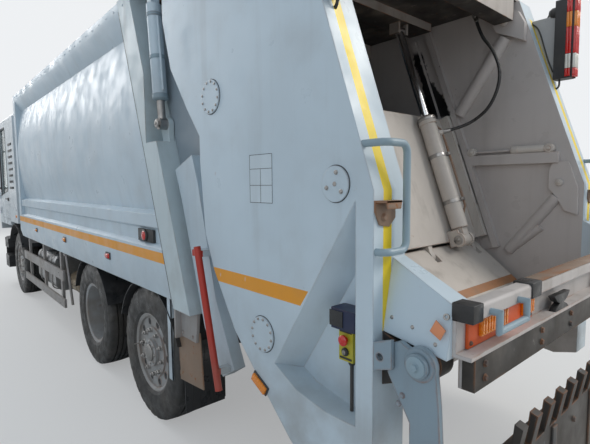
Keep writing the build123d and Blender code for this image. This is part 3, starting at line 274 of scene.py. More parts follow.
def paint(name, base, grime=0.3, rust=0.2, gloss=0.35, areas=(), low_dirt=0.5, metal=0.0, stain=None):
    # painted sheet: waviness, rain streaks, dirt that settles low, chipped and rusted edges;
    # areas: (colour, wear, conditions) rows laid over the base
    s = Shader(name)
    tone = s.mix(s.ramp(s.noise(1.3), 0.35, 0.7), base, shade(base, 0.9))
    for area_color, wear, conditions in areas:
        worn = s.ramp(s.noise(26, (1, 1, 0.6), 6), 0.66, 0.74, wear)
        tone = s.mix(s.times(s.where(*conditions), s.math("SUBTRACT", 1.0, worn)), tone, area_color)
    drips = s.ramp(s.noise(9, (1, 1, 0.07), 5), 0.5, 0.8, grime)
    tone = s.mix(drips, tone, GRIME)
    cloud = s.ramp(s.noise(3.1, detail=7), 0.48, 0.75, grime)
    tone = s.mix(cloud, tone, shade(GRIME, 1.6))
    if low_dirt:
        low = s.ramp(s.along(Z), 1.3, 0.5, low_dirt)
        tone = s.mix(s.times(low, s.ramp(s.noise(4.5, detail=6), 0.3, 0.7)), tone, EARTH)
    edge = s.times(s.edges(0.012), s.ramp(s.noise(7, detail=6), 0.42, 0.6))
    chips = s.ramp(s.noise(16, detail=9, rough=0.7), 0.68 - 0.1 * rust, 0.76 - 0.1 * rust, rust * 2)
    worn = s.math("MAXIMUM", s.times(edge, min(1.0, rust * 2.5)), chips)
    tone = s.mix(worn, tone, s.mix(s.noise(40), RUST, RUST_LIGHT))
    if stain:
        tone = s.mix(stain(s), tone, GREASE)
    matt = s.math("ADD", s.noise(6), s.times(worn, 0.5))
    s.set(Base_Color=tone, Metallic=metal,
          Roughness=s.ramp(matt, 0.2, 1.0, 1.0 - 0.6 * gloss, 0.5 - 0.5 * gloss))
    s.bump(s.math("ADD", s.noise(2.2), s.times(s.noise(60), 0.05)), 0.25, 0.012, 0.004)
    return s.material


def grease_stain(s):
    # black grease thrown on the far wall: a leaning smear that widens to its foot, with spots beside it
    z = s.along(Z)
    ragged = s.times(s.math("SUBTRACT", s.noise(11, detail=7, rough=0.7), 0.5), 0.16)
    middle = s.ramp(z, 2.35, 2.95, 1.35 + SHIFT, 1.14 + SHIFT)
    width = s.ramp(z, 2.36, 2.7, 0.05, 0.13)
    away = s.math("ABSOLUTE", s.math("SUBTRACT", s.along(X), middle))
    inside = s.ramp(s.math("ADD", s.math("SUBTRACT", away, width), ragged), 0.012, -0.012)
    spots = s.times(s.ramp(s.noise(24, detail=3), 0.68, 0.71), s.ramp(away, 0.32, 0.12))
    tall = s.times(s.ramp(z, 2.33, 2.37), s.ramp(z, 2.97, 2.92))
    on_wall = s.where((Y, -1.1, -1.0), (Y, 0.5, 2, "Normal"))
    return s.times(s.times(s.math("MAXIMUM", inside, spots), tall), on_wall)


def plain(name, base, roughness, grain=80.0, depth=0.002, spots=0.25, metal=0.0, sheen=0.0):
    # rubber, plastic, cast or bare metal: tone and gloss vary, with a fine grain in the surface
    s = Shader(name)
    dusty = tuple(0.5 * c + 0.5 * g for c, g in zip(base, GRIME))
    tone = s.mix(s.ramp(s.noise(5, detail=6), 0.4, 0.75, spots), base, dusty)
    s.set(Base_Color=s.mix(s.ramp(s.noise(grain), 0.3, 0.7, 0.3), tone, shade(base, 0.6)),
          Roughness=s.ramp(s.noise(12), 0.0, 1.0, min(1.0, roughness * 2)), Metallic=metal,
          Sheen_Weight=sheen)
    s.bump(s.noise(grain, detail=2), 0.4, depth, 0.002)
    return s.material


def lens(name, base):
    # moulded lamp lens with fine prisms
    s = Shader(name)
    tone = s.mix(s.ramp(s.noise(14), 0.3, 0.8, 0.4), base, shade(base, 0.55))
    s.set(Base_Color=tone, Roughness=0.16, Coat_Weight=0.5)
    place = s.place.outputs["Object"]
    prisms = s.new("TexWave", {"Scale": 28.0, "Vector": place}, bands_direction="DIAGONAL")
    s.bump(prisms.outputs[0], 0.5, 0.002)
    return s.material


def glazing():
    s = Shader("window_glass")
    tone = s.mix(s.ramp(s.noise(2.5), 0.4, 0.8, 0.3), (0.8, 0.86, 0.86), (0.55, 0.6, 0.58))
    s.set(Base_Color=tone, Roughness=0.03, Transmission_Weight=0.92, IOR=1.1)
    return s.material


def tape(*limits):
    # the orange band along the truck, on each outer side
    return [(ORANGE, 0.6, [(Z, 1.268, 1.34), (Y, low, high), (Y, *facing, "Normal"), *limits])
            for low, high, facing in ((1.2, 1.3, (0.6, 2)), (-1.3, -1.2, (-2, -0.6)))]


def gate_areas():
    # the tailgate's sides: orange band, yellow tape on the posts, inner colour, and painted shade on the
    # joint face
    to_rear = (X, -2, -0.6, "Normal")
    niche_edge = ((1, 0, 0.706), 1.291, 4)
    areas = tape((X, 0.2, 1.17), niche_edge)
    for low, high in ((1.145, 1.195), (-1.195, -1.145)):
        areas.append((YELLOW, 0.3, [(Y, low, high), to_rear, (X, -0.02, 0.02), (Z, 1.2, POST_KINK_Z)]))
        areas.append((YELLOW, 0.3, [(Y, low, high), to_rear, (X, -0.02, 0.6), (Z, POST_KINK_Z, 3.02)]))
    areas.append((INNER, 0.0, [(Y, -1.0605, 1.0605), (X, 0.002, 3)]))
    # dark blue-grey on the joint faces that look outward between the inner wall and the skin: painted shade
    # in the recess
    for low, high, outward in ((1.061, SKIN_Y + 0.001, (0.5, 2)), (-SKIN_Y - 0.001, -1.061, (-2, -0.5))):
        areas.append(((0.26, 0.31, 0.35), 0.0, [(Y, low, high), (X, 0.9, 3), (Y, *outward, "Normal")]))
    return areas


def make_materials():
    # each material under its short name, with the record's slot that it stands for
    sill = [(NEAR_BLACK, 0.3, [(X, -0.4, SILL_WEB + 0.001), (Z, 1.0, 1.214)]),
            (RUST_LIGHT, 0.7, [(X, -0.245, -0.2), (Z, 1.3, 1.6)]),
            (RUST, 0.5, [(X, -0.138, -0.126), (Z, 1.2, 1.6)])]
    scraped = [(RUST_LIGHT, 0.7, [(X, 0.4, 0.45), (Z, 0.8, 1.12)]),
               (RUST, 0.5, [(X, 0.325, 0.34), (Z, 0.8, 1.1)])]
    tanks = [((0.6, 0.48, 0.33), 0.3, [(X, 4.6, 5.2), (Y, 0.4, 1.2)]),
             ((0.03, 0.031, 0.033), 0.2, [(Y, -1.3, -0.4)])]
    control = [((0.012, 0.02, 0.06), 0.1, [(Z, 1.204, 1.4)]), ((0.03, 0.03, 0.032), 0.1, [(Z, 0.8, 1.074)])]
    # near black on the comb between the lift arms: painted shade
    comb = [(NEAR_BLACK, 0.4, [(Y, -1.204, 1.204)])]
    # near black on the top's faces that look down: painted shade under it
    below = [(NEAR_BLACK, 0.5, [(Z, -2, -0.5, "Normal")])]
    # the strut's brackets in white paint, darkened and tinted blue-grey: painted sky shade
    strut_feet = [((0.55, 0.62, 0.66), 0.1, [(Y, -1.2535, 1.2535)])]
    lamp_feet = [((0.42, 0.42, 0.42), 0.1, [(X, 0.2625, 2)])]
    # the frame's, cab's and sticker's whites are darkened and tinted blue-grey like the body's: painted sky
    # shade
    # slot, colour, grime, rust, gloss, areas, low dirt, metal, stain
    painted = {
        "body": ("body_white", WHITE_IN_SKY_SHADE, 0.12, 0.08, 0.5, tape((X, 1.2, 6.86))),
        "frame": ("body_white", (0.6, 0.69, 0.72), 0.25, 0.15, 0.4),
        "gate": ("body_white", WHITE_IN_SKY_SHADE, 0.14, 0.1, 0.5, gate_areas(), 0.5, 0.0, grease_stain),
        "inner": ("inner_grey", INNER, 0.4, 0.25, 0.3, sill),
        "top": ("inner_grey", (0.4, 0.36, 0.33), 0.6, 0.5, 0.3, below),
        "packer": ("inner_grey", (0.66, 0.61, 0.56), 0.35, 0.3, 0.35, scraped),
        "cab": ("body_white", (0.68, 0.73, 0.76), 0.08, 0.03, 0.65),
        "chassis": ("chassis_grey", (0.045, 0.047, 0.05), 0.5, 0.35, 0.3),
        # the lift's blue-grey is the body's paint taken darker: painted shade on the lift arms
        "lift": ("chassis_grey", (0.27, 0.35, 0.41), 0.2, 0.25, 0.35, comb, 0.12),
        "handle": ("chassis_grey", (0.3, 0.4, 0.46), 0.2, 0.12, 0.4),
        "guard": ("grey_plastic", (0.36, 0.34, 0.33), 0.3, 0.1, 0.3),
        "red": ("red", (0.5, 0.03, 0.015), 0.15, 0.15, 0.45, strut_feet),
        "lamp_case": ("black_plastic", (0.025, 0.026, 0.028), 0.15, 0.02, 0.4, lamp_feet),
        "rim": ("rim", (0.4, 0.405, 0.41), 0.4, 0.22, 0.25, (), 0.5, 0.1),
        "rusty": ("chassis_grey", (0.3, 0.2, 0.14), 0.5, 0.9, 0.15),
        "tank": ("tank", (0.45, 0.46, 0.47), 0.3, 0.1, 0.55, tanks, 0.5, 0.6),
        "control": ("black_plastic", (0.5, 0.44, 0.03), 0.2, 0.05, 0.5, control),
        "orange": ("red", (0.72, 0.1, 0.012), 0.3, 0.1, 0.4),
        "reflector": ("lamp", (0.8, 0.3, 0.14), 0.1, 0.02, 0.6),
        "sticker": ("body_white", (0.64, 0.73, 0.79), 0.12, 0.0, 0.5, (), 0.0)}
    # slot, colour, roughness, grain, depth, spots, metal, sheen
    bare = {
        "rubber": ("hose_rubber", (0.022, 0.022, 0.023), 0.4, 60),
        "tyre": ("tyre", (0.03, 0.029, 0.028), 0.8, 45, 0.004, 0.6),
        "plastic": ("black_plastic", (0.028, 0.029, 0.031), 0.55, 160, 0.001),
        "chrome": ("chrome_rod", (0.75, 0.76, 0.78), 0.12, 300, 0.0002, 0.15, 1.0),
        "steel": ("chrome_rod", (0.4, 0.39, 0.38), 0.4, 120, 0.0006, 0.5, 1.0),
        "engine": ("engine", (0.1, 0.1, 0.11), 0.6, 50, 0.004, 0.6, 0.4),
        "fabric": ("fabric", (0.045, 0.05, 0.06), 0.9, 400, 0.001, 0.2, 0.0, 0.3),
        "mirror": ("glass", (0.85, 0.86, 0.87), 0.03, 3, 0.0001, 0.1, 1.0)}
    lenses = {"red_lens": ("lamp", (0.7, 0.012, 0.008)), "amber_lens": ("lamp", (0.95, 0.28, 0.01)),
              "white_lens": ("lamp", (0.85, 0.83, 0.76))}
    made = {"glass": ("glass", glazing())}
    for build, rows in ((paint, painted), (plain, bare), (lens, lenses)):
        for key, (slot, *look) in rows.items():
            made[key] = (slot, build(key, *look))
    return made


# The material of each solid, whose name is given without its side
DRESS = {
    "chassis": "frame_rails leaf_springs front_axle rear_axles body_floor knuckle", "engine": "engine_block",
    "plastic": "mudguards front_bumper cab_floor cab_seats cab_dash mirror", "guard": "side_guards",
    "body": "body_front_wall body_roof body_side lift_barrels", "frame": "body_rear_frame", "tank": "tanks",
    "inner": "ejector_panel tailgate_hopper", "gate": "tailgate_side", "top": "tailgate_top",
    "lamp_case": "rear_lamps", "handle": "grab_handles", "control": "control_box", "red": "safety_strut",
    "lift": "bin_lift_supports bin_lift", "packer": "carriage packer_blade carriage_barrels",
    "chrome": "carriage_rods", "steel": "lift_rods", "glass": "cab_glass", "rubber": "hose",
    "cab": "cab_back_wall cab_roof cab_front_panel cab_sides cab_door",
    "tyre": "front_tyre drive_tyres tag_tyre", "rim": "front_rim drive_rims tag_rim"}


def dress_nodes():
    looks = {name: MATERIALS[key][1] for key, names in DRESS.items() for name in names.split()}
    for name, node in NODES.items():
        node.data.materials.clear()
        node.data.materials.append(looks[name.removesuffix("_left").removesuffix("_right")])
        smooth(node)


def smooth_group():
    # merges a mesh's split corners and shades it smooth below the sharp angle
    tree = bpy.data.node_groups.new("smooth_by_angle", "GeometryNodeTree")
    for way in ("INPUT", "OUTPUT"):
        tree.interface.new_socket("Geometry", in_out=way, socket_type="NodeSocketGeometry")
    start = add_node(tree, "NodeGroupInput")
    merge = add_node(tree, "GeometryNodeMergeByDistance", {0: start.outputs[0], "Distance": 0.00005})
    faces = add_node(tree, "GeometryNodeSetShadeSmooth", {0: merge.outputs[0]})
    angle = add_node(tree, "GeometryNodeInputMeshEdgeAngle").outputs[0]
    flat = add_node(tree, "FunctionNodeCompare", {0: angle, 1: math.radians(32)}, operation="LESS_EQUAL")
    inputs = {0: faces.outputs[0], "Shade Smooth": flat.outputs[0]}
    edges = add_node(tree, "GeometryNodeSetShadeSmooth", inputs, domain="EDGE")
    add_node(tree, "NodeGroupOutput", {0: edges.outputs[0]})
    return tree


def smooth(obj):
    obj.modifiers.new("smooth", "NODES").node_group = SMOOTH


# Pieces

class Piece:
    # gathers closed forms, in metres, and becomes one named mesh; side is 1, -1, or 0 for no side
    def __init__(self, side=0):
        self.side = side
        self.points, self.faces = [], []

    def place(self, point):
        x, y, z = point
        return Vector((x, -y if self.side < 0 else y, z))

    def add(self, points, faces):
        start = len(self.points)
        self.points += points
        self.faces += [tuple(start + i for i in face) for face in faces]
        return self

    def shell(self, near, far):
        # closed form between two outlines with as many points
        n = len(near)
        walls = [(i, (i + 1) % n, n + (i + 1) % n, n + i) for i in range(n)]
        ends = [tuple(range(n - 1, -1, -1)), tuple(range(n, 2 * n))]
        return self.add([self.place(p) for p in (*near, *far)], [*ends, *walls])

    def plate(self, corners, depth):
        # flat plate: its outline and the offset to its other face
        return self.shell(corners, [Vector(c) + Vector(depth) for c in corners])

    def box(self, x0, x1, y0, y1, z0, z1):
        return self.plate([(x0, y0, z0), (x1, y0, z0), (x1, y1, z0), (x0, y1, z0)], (0, 0, z1 - z0))

    def lathe(self, start, along, profile, sides=24, closed=False, twist=0.0):
        # profile: (distance along the axis, radius) pairs; closed joins the last pair to the first
        turn = self.place(along).to_track_quat("Z", "Y").to_matrix()
        start, count = self.place(start), len(profile)
        points = []
        for distance, radius in profile:
            points += [start + turn @ Vector((*pair, distance)) for pair in circle(radius, sides, twist)]
        faces = []
        for i in range(count if closed else count - 1):
            near, far = i * sides, (i + 1) % count * sides
            for k in range(sides):
                after = (k + 1) % sides
                faces.append((near + k, near + after, far + after, far + k))
        if not closed:
            faces += [tuple(range(sides)), tuple((count - 1) * sides + k for k in range(sides))]
        return self.add(points, faces)

    def stud(self, start, along, radius, height, top, end, sides, base=0.0, twist=0.0):
        # round or many-sided knob, straight up to its height and narrowed to top at its end
        return self.lathe(start, along, [(base, radius), (height, radius), (end, top)], sides, twist=twist)

    def ring(self, start, along, low, high, inner, outer, sides):
        section = [(low, inner), (low, outer), (high, outer), (high, inner)]
        return self.lathe(start, along, section, sides, closed=True)

    def rod(self, start, end, radius, sides=16):
        # round bar with softened ends
        way = Vector(end) - Vector(start)
        cut = min(radius * 0.12, way.length / 4)
        profile = [(0, radius - cut), (cut, radius), (way.length - cut, radius), (way.length, radius - cut)]
        return self.lathe(start, way, profile, sides)

    def bolt(self, place, along, size):
        # hexagon head on a washer
        self.lathe(place, along, [(0, size * 1.25), (size * 0.2, size * 1.25)], 16)
        return self.stud(place, along, size, size * 0.75, size * 0.85, size * 0.9, 6)

    def tube(self, points, radius, sides=12):
        # bent pipe along its points
        points = [self.place(p) for p in points]
        count = len(points)
        ways = [(points[min(i + 1, count - 1)] - points[max(i - 1, 0)]).normalized() for i in range(count)]
        across = ways[0].orthogonal().normalized()
        rings = []
        for point, way in zip(points, ways):
            across = (across - across.dot(way) * way).normalized()
            other = way.cross(across)
            rings += [point + radius * (a * across + b * other) for a, b in circle(1, sides)]
        faces = []
        for near in range(0, (count - 1) * sides, sides):
            for k in range(sides):
                after = (k + 1) % sides
                faces.append((near + k, near + after, near + sides + after, near + sides + k))
        faces += [tuple(range(sides)), tuple((count - 1) * sides + k for k in range(sides))]
        return self.add(rings, faces)

    def mesh(self, name, material):
        name += SUFFIX[self.side]
        slot, look = MATERIALS[material]
        data = bpy.data.meshes.new(name)
        data.from_pydata([at(*p) for p in self.points], [], self.faces)
        shape = bmesh.new()
        shape.from_mesh(data)
        bmesh.ops.recalc_face_normals(shape, faces=shape.faces)
        shape.to_mesh(data)
        shape.free()
        piece = bpy.data.objects.new(name, data)
        bpy.context.scene.collection.objects.link(piece)
        data.materials.append(look)
        return piece

    def done(self, name, body, material, bevel=0.0):
        piece = self.mesh(name, material)
        if bevel:
            rounding = piece.modifiers.new("bevel", "BEVEL")
            rounding.width = bevel
            rounding.segments = 2
            rounding.limit_method = "ANGLE"
        smooth(piece)
        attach(piece, body)
        return piece


def circle(radius, count, start=0.0):
    angles = [2 * math.pi * k / count + start for k in range(count)]
    return [(radius * math.cos(angle), radius * math.sin(angle)) for angle in angles]


def rounded(points, cut=0.3, steps=5):
    # bends a pipe's corners into arcs
    points = [Vector(p) for p in points]
    line = [points[0]]
    for before, corner, after in zip(points, points[1:], points[2:]):
        start, end = corner.lerp(before, cut), corner.lerp(after, cut)
        for k in range(steps + 1):
            t = k / steps
            line.append((1 - t) ** 2 * start + 2 * t * (1 - t) * corner + t * t * end)
    return [*line, points[-1]]


# Hydraulic hoses of the packer: from the roof's port to the port on the cylinder

HOSE_RADIUS = 0.012
HOSE_ROUTE = [(0.7215, 0.85, 3.0621), (0.6782, 0.85, 2.9034), (0.5668, 0.85, 2.7682),
              (0.5021, 0.85, 2.5736), (0.5702, 0.85, 2.3673), (0.7003, 0.85, 2.2652),
              (0.8038, 0.7764, 2.212), (0.8797, 0.688, 2.1847)]
FERRULE = [(0, 0.019), (0.022, 0.019), (0.024, 0.0155), (0.058, 0.0155), (0.06, 0.0135)]
FERRULE_NUT = [(0.002, 0.0215), (0.018, 0.0215)]


def smooth_line(route):
    # the points of a smooth curve that the route's points steer
    data = bpy.data.curves.new("route", "CURVE")
    data.dimensions = "3D"
    spline = data.splines.new("NURBS")
    spline.points.add(len(route) - 1)
    for point, place in zip(spline.points, route):
        point.co = (*place, 1)
    spline.order_u = 3
    spline.use_endpoint_u = True
    spline.resolution_u = 12
    guide = bpy.data.objects.new("route", data)
    bpy.context.scene.collection.objects.link(guide)
    bpy.context.view_layer.update()
    mesh = bpy.data.meshes.new_from_object(guide)
    line = [v.co.copy() for v in mesh.vertices]
    bpy.data.objects.remove(guide)
    bpy.data.curves.remove(data)
    bpy.data.meshes.remove(mesh)
    return line


def packer_hose(side):
    line = smooth_line(HOSE_ROUTE)
    pipe = Piece(side).tube(line, HOSE_RADIUS, 16)
    path = [at(*pipe.place(p)) for p in line]
    hose = pipe.mesh("packer_hose", "rubber")
    hose.data.polygons.foreach_set("use_smooth", [True] * len(hose.data.polygons))
    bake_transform(hose)
    for end, after, body in ((line[0], line[3], "tailgate"), (line[-1], line[-4], "carriage")):
        ferrule = Piece(side).lathe(end, after - end, FERRULE).lathe(end, after - end, FERRULE_NUT, 6)
        ferrule.done(f"hose_ferrule_{body}", body, "steel")
    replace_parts(hose, "hose" + SUFFIX[side])


# Wheels: profiles as (distance along the axle, radius) pairs, the tread from its wall to its middle

TREAD = [(0.106, 0.2905), (0.128, 0.299), (0.139, 0.318), (0.1415, 0.322), (0.1415, 0.330), (0.1455, 0.350),
         (0.148, 0.398), (0.1465, 0.440), (0.1445, 0.444), (0.1430, 0.468), (0.138, 0.488), (0.131, 0.501),
         (0.118, 0.5085), (0.076, 0.5125), (0.0735, 0.498), (0.0635, 0.498), (0.061, 0.5135), (0.030, 0.515),
         (0.0275, 0.500), (0.0175, 0.500), (0.015, 0.515)]
# Faces round the tyre, and the cuts: places in TREAD, faces from one cut to the next, and depth
TREAD_SIDES = 120
SHOULDER, CUT_STEP, CUT_DEPTH = (10, 11, 12), 4, 0.011
FLANGE_Y = 0.108
FLANGE = [(0, 0.272), (0, 0.2895), (0.006, 0.293), (0.012, 0.303), (0.018, 0.302), (0.02, 0.292),
          (0.014, 0.28), (0.01, 0.272)]
HUB_CAP = [(0, 0.066), (0.012, 0.066), (0.018, 0.05), (0.02, 0.02)]
VALVE = [(0, 0.005), (0.05, 0.004), (0.062, 0.0055)]
HOLE_LIP = [(-0.002, 0.026), (0.004, 0.027), (0.004, 0.029), (0, 0.034), (-0.002, 0.034)]


def tyre_into(piece, x, y):
    # road tyre turned from its half section, with cuts across the shoulders
    section = [*TREAD, *[(-across, radius) for across, radius in reversed(TREAD)]]
    first = len(piece.points)
    piece.lathe((x, y, TYRE_RADIUS), OUT, section, TREAD_SIDES, closed=True)
    for row in (*SHOULDER, *[len(section) - 1 - row for row in SHOULDER]):
        for k in range(first + row * TREAD_SIDES, first + (row + 1) * TREAD_SIDES, CUT_STEP):
            point = piece.points[k]
            outward = Vector((point.x - x, 0, point.z - TYRE_RADIUS)).normalized()
            piece.points[k] = point - CUT_DEPTH * outward


def nuts_into(piece, x, y):
    for across, up in circle(0.1675, 10, 0.2):
        place = (x + across, y, TYRE_RADIUS + up)
        piece.stud(place, OUT, 0.0215, 0.004, 0.018, 0.006, 20)
        piece.stud(place, OUT, 0.0165, 0.024, 0.014, 0.027, 6, base=0.004, twist=across * 9)
        piece.stud(place, OUT, 0.0095, 0.036, 0.008, 0.038, 12, base=0.02)


def wheels(side):
    axles = (("front", FRONT_AXLE, "front_wheel", "front_tyre", (TYRE_Y,), 1.152),
             ("drive", DRIVE_AXLE, "drive_wheels", "drive_tyres", (TYRE_Y, TWIN_Y), 1.04),
             ("tag", TAG_AXLE, "tag_wheel", "tag_tyre", (TYRE_Y,), 1.182))
    for name, x, body, node, places, hub_y in axles:
        body += SUFFIX[side]
        tyres, trim, rims, holes, lips = (Piece(side) for _ in range(5))
        for y in places:
            tyre_into(tyres, x, y)
            for edge in (-1, 1):
                rims.lathe((x, y + edge * FLANGE_Y, TYRE_RADIUS), (0, edge, 0), FLANGE, 72, closed=True)
        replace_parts(tyres.done(f"{name}_tyre_rubber", body, "tyre"), node + SUFFIX[side])
        face = TYRE_Y + NUT_FACE[name]
        disc = face - 0.012
        nuts_into(trim, x, face)
        for across, up in circle(0.085, 8):
            trim.bolt((x + across, hub_y, TYRE_RADIUS + up), OUT, 0.009)
        trim.lathe((x, hub_y, TYRE_RADIUS), OUT, HUB_CAP)
        trim.done(f"{name}_wheel_nuts", body, "steel")
        rims.done(f"{name}_rim_flanges", body, "rim")
        for across, up in circle(0.231, 10):
            place = (x + across, disc, TYRE_RADIUS + up)
            holes.lathe(place, OUT, [(-0.004, 0.026), (0.0006, 0.026)])
            lips.lathe(place, OUT, HOLE_LIP, closed=True)
        holes.done(f"{name}_hand_holes", body, "plastic")
        lips.lathe((x + 0.25, disc, TYRE_RADIUS), (0.1, 1, 0), VALVE, 12)
        lips.done(f"{name}_hole_lips", body, "rim")


def mud_flap(side):
    x, inner, outer, top, ribs = 1.668, 0.86, 1.165, 0.72, 7
    flap = Piece(side)
    for k in range(ribs):
        y = inner + (outer - inner) * k / (ribs - 1)
        flap.box(x - 0.006, x + 0.004, y - 0.004, y + 0.004, 0.26, top - 0.04)
    flap.box(x - 0.003, x + 0.005, inner, outer, 0.24, top)
    flap.done("mud_flaps", "chassis", "rubber", 0.0015)


# Load body

SQUARE = ((-1, -1), (1, -1), (1, 1), (-1, 1))
GROOVE_Y = 1.205
FOOT_X, FOOT_Y, PLATE_Y = JOINT_X0 + JOINT_SLOPE, 1.175, 1.165
ROOF_RIVETS, ROOF_RIVET_GAP = 28, 0.175


def marker(lamp, base, x, z, wide=0.045, tall=0.022):
    # side marker: a base, and a lens that narrows outward
    rim = 0.008
    base.box(x - wide - rim, x + wide + rim, HALF_WIDTH, HALF_WIDTH + rim, z - tall - rim, z + tall + rim)
    near = [(x + i * wide, HALF_WIDTH, z + k * tall) for i, k in SQUARE]
    far = [(x + i * wide * 0.8, HALF_WIDTH + 0.022, z + k * tall * 0.7) for i, k in SQUARE]
    lamp.shell(near, far)


def roof_end():
    # plate that closes the bowed roof's front end above the flat wall
    x, half, low, rise = 6.851, 1.15, 3.085, 0.052
    arc = [(x, half * across, 3.1 + rise * up ** 2) for across, up in circle(1, 48)[:25]]
    outline = [(x, half, low), *arc, (x, -half, low)]
    Piece().plate(outline, (-0.006, 0, 0)).done("roof_end_plate", "chassis", "body")


def body_trim(side):
    base, amber, red, rivets, bolts = (Piece(side) for _ in range(5))
    marker(amber, base, 4.256, 1.208)
    marker(red, base, 2.851, 1.196)
    marker(amber, base, 5.678, 1.207, 0.03, 0.018)
    lamp = (2.107, GROOVE_Y, 1.43)
    base.box(1.97, 2.24, GROOVE_Y, GROOVE_Y + 0.02, 1.385, 1.475)
    base.stud(lamp, OUT, 0.045, 0.03, 0.038, 0.034, 32, base=0.018)
    red.lathe(lamp, OUT, [(0.02, 0.037), (0.036, 0.034), (0.042, 0.022), (0.044, 0.006)], 32)
    amber.done("side_markers_amber", "chassis", "amber_lens", 0.003)
    red.done("side_markers_red", "chassis", "red_lens", 0.003)
    base.done("side_marker_bases", "chassis", "plastic", 0.002)
    for k in range(ROOF_RIVETS):
        place = (1.95 + ROOF_RIVET_GAP * k, HALF_WIDTH, 3.085)
        rivets.lathe(place, OUT, [(0, 0.008), (0.003, 0.007), (0.0045, 0.003)], 12)
    for z in (1.66, 1.95, 2.25, 2.55, 2.85):
        rivets.lathe((6.79, HALF_WIDTH, z), OUT, [(0, 0.01), (0.003, 0.009), (0.005, 0.004)], 12)
    rivets.done("body_rivets", "chassis", "body")
    # seam along the slanted rear frame
    seam = [(JOINT_X0 + 0.225 + shift + JOINT_SLOPE * z, HALF_WIDTH, z)
            for shift, z in ((0, 1.0), (0.005, 1.0), (0.005, 3.06), (0, 3.06))]
    Piece(side).plate(seam, (0, 0.0008, 0)).done("frame_seam", "chassis", "plastic")
    outline = [(FOOT_X, 1.0), (FOOT_X + 0.235, 1.0), (FOOT_X + 0.31, 0.8), (FOOT_X + 0.03, 0.8)]
    foot = Piece(side).plate([(x, FOOT_Y, z) for x, z in outline], (0, 0.02, 0))
    foot.box(FOOT_X + 0.225, FOOT_X + 0.245, FOOT_Y, FOOT_Y + 0.06, 0.79, 1.0)
    for x in (FOOT_X + 0.07, FOOT_X + 0.2):
        foot.bolt((x, FOOT_Y + 0.02, 0.83), OUT, 0.009)
    foot.done("post_foot", "chassis", "guard", 0.002)
    outline = [(FOOT_X + 0.02, 0.86), (FOOT_X + 0.31, 0.86), (FOOT_X + 0.31, 0.47), (FOOT_X - 0.01, 0.5)]
    plate = Piece(side).plate([(x, PLATE_Y, z) for x, z in outline], (0, 0.01, 0))
    plate.done("rusty_side_plate", "chassis", "rusty", 0.002)
    strip = Piece(side).box(1.79, 1.84, 1.19, 1.2, 0.44, 1.06).box(1.79, 1.795, PLATE_Y, 1.2, 0.44, 1.06)
    strip.done("white_strip", "chassis", "body", 0.001)
    stay = Piece(side).tube([(4.463, 1.2, 1.03), (4.281, 1.2, 0.462)], 0.014)
    stay.box(4.44, 4.49, 1.18, 1.22, 1.0, 1.06)
    stay.done("guard_stay", "chassis", "guard")
    for x, z, shift in product(GUARD_POSTS, (0.41, 0.74), (-0.015, 0.015)):
        bolts.bolt((x + shift, 1.21, z + shift), OUT, 0.007)
    bolts.done("guard_bolts", "chassis", "steel")


# Tailgate

# Round covers: place along and up, circle of bolts, how many, their size, radius of the seam
COVERS = ((1.095, 2.255, 0.078, 12, 0.0058, 0.089),
          (0.668, 1.074, 0.075, 12, 0.0058, 0.086),
          (0.184, 1.79, 0.045, 3, 0.0075, 0.07))
CHEEK_Y, CHEEK_TOP, CHEEK_SLOPE = 1.135, 1.515, 0.204
CHEEK_OUT = Vector((0, 1, CHEEK_SLOPE)).normalized()
# Rear lamp: colours and heights of its lenses
LENSES = (("red", 2.548, 2.606), ("white", 2.606, 2.708), ("red", 2.708, 2.895), ("amber", 2.895, 3.0),
          ("red", 3.0, 3.092))
# Leads of the rear lamp, each with its radius
LEADS = (([(0.23, 1.19, 2.56), (0.23, 1.19, 2.49), (0.27, 1.18, 2.46), (0.28, 1.15, 2.5)], 0.007),
         ([(0.272, 1.176, 2.6), (0.31, 1.176, 2.7), (0.38, 1.176, 2.94), (0.44, 1.17, 3.0)], 0.005))
# Rubber on the sill inboard of its orange panel, narrow in its middle, as (y, z) pairs
WAIST = [(0.242, 1.299), (0.438, 1.299), (0.4, 1.27), (0.365, 1.258), (0.4, 1.245), (0.438, 1.216),
         (0.242, 1.216), (0.28, 1.245), (0.315, 1.258), (0.28, 1.27)]
BUTTON = [(0, 0.012), (0.014, 0.012), (0.014, 0.022), (0.022, 0.022), (0.027, 0.016), (0.029, 0.006)]
PANEL_X, PANEL_Y, KEY_Z = 0.178, 1.2, 1.115


def tailgate_trim(side):
    bolts, seams = Piece(side), Piece(side)
    for x, z, radius, count, size, edge in COVERS:
        for across, up in circle(radius, count, 0.7 + math.pi):
            bolts.bolt((x + across, COVER_Y, z + up), OUT, size)
        seams.ring((x, HALF_WIDTH, z), OUT, 0, 0.0015, edge, edge + 0.0035, 64)
    bolts.lathe((0.184, COVER_Y, 1.79), OUT, [(0, 0.009), (0.002, 0.009)], 20)
    bolts.done("cover_bolts", "tailgate", "steel")
    seams.done("cover_seams", "tailgate", "plastic")
    for detail in (sticker, latch_bracket, cheek_signs, skin_lamp, rear_lamp, pivot_pins):
        detail(side)


def work_lamp():
    y = -1.19
    case = [(0, 0.02), (0.02, 0.036), (0.055, 0.04), (0.06, 0.036)]
    work = Piece().lathe((0.314, y, 3.035), (-1, 0, -0.15), case, 28)
    work.tube(rounded([(0.314, y, 3.03), (0.335, y, 2.99), (0.37, y, 2.96), (0.42, y, 2.95)]), 0.006)
    work.done("work_lamp", "tailgate", "plastic", 0.001)


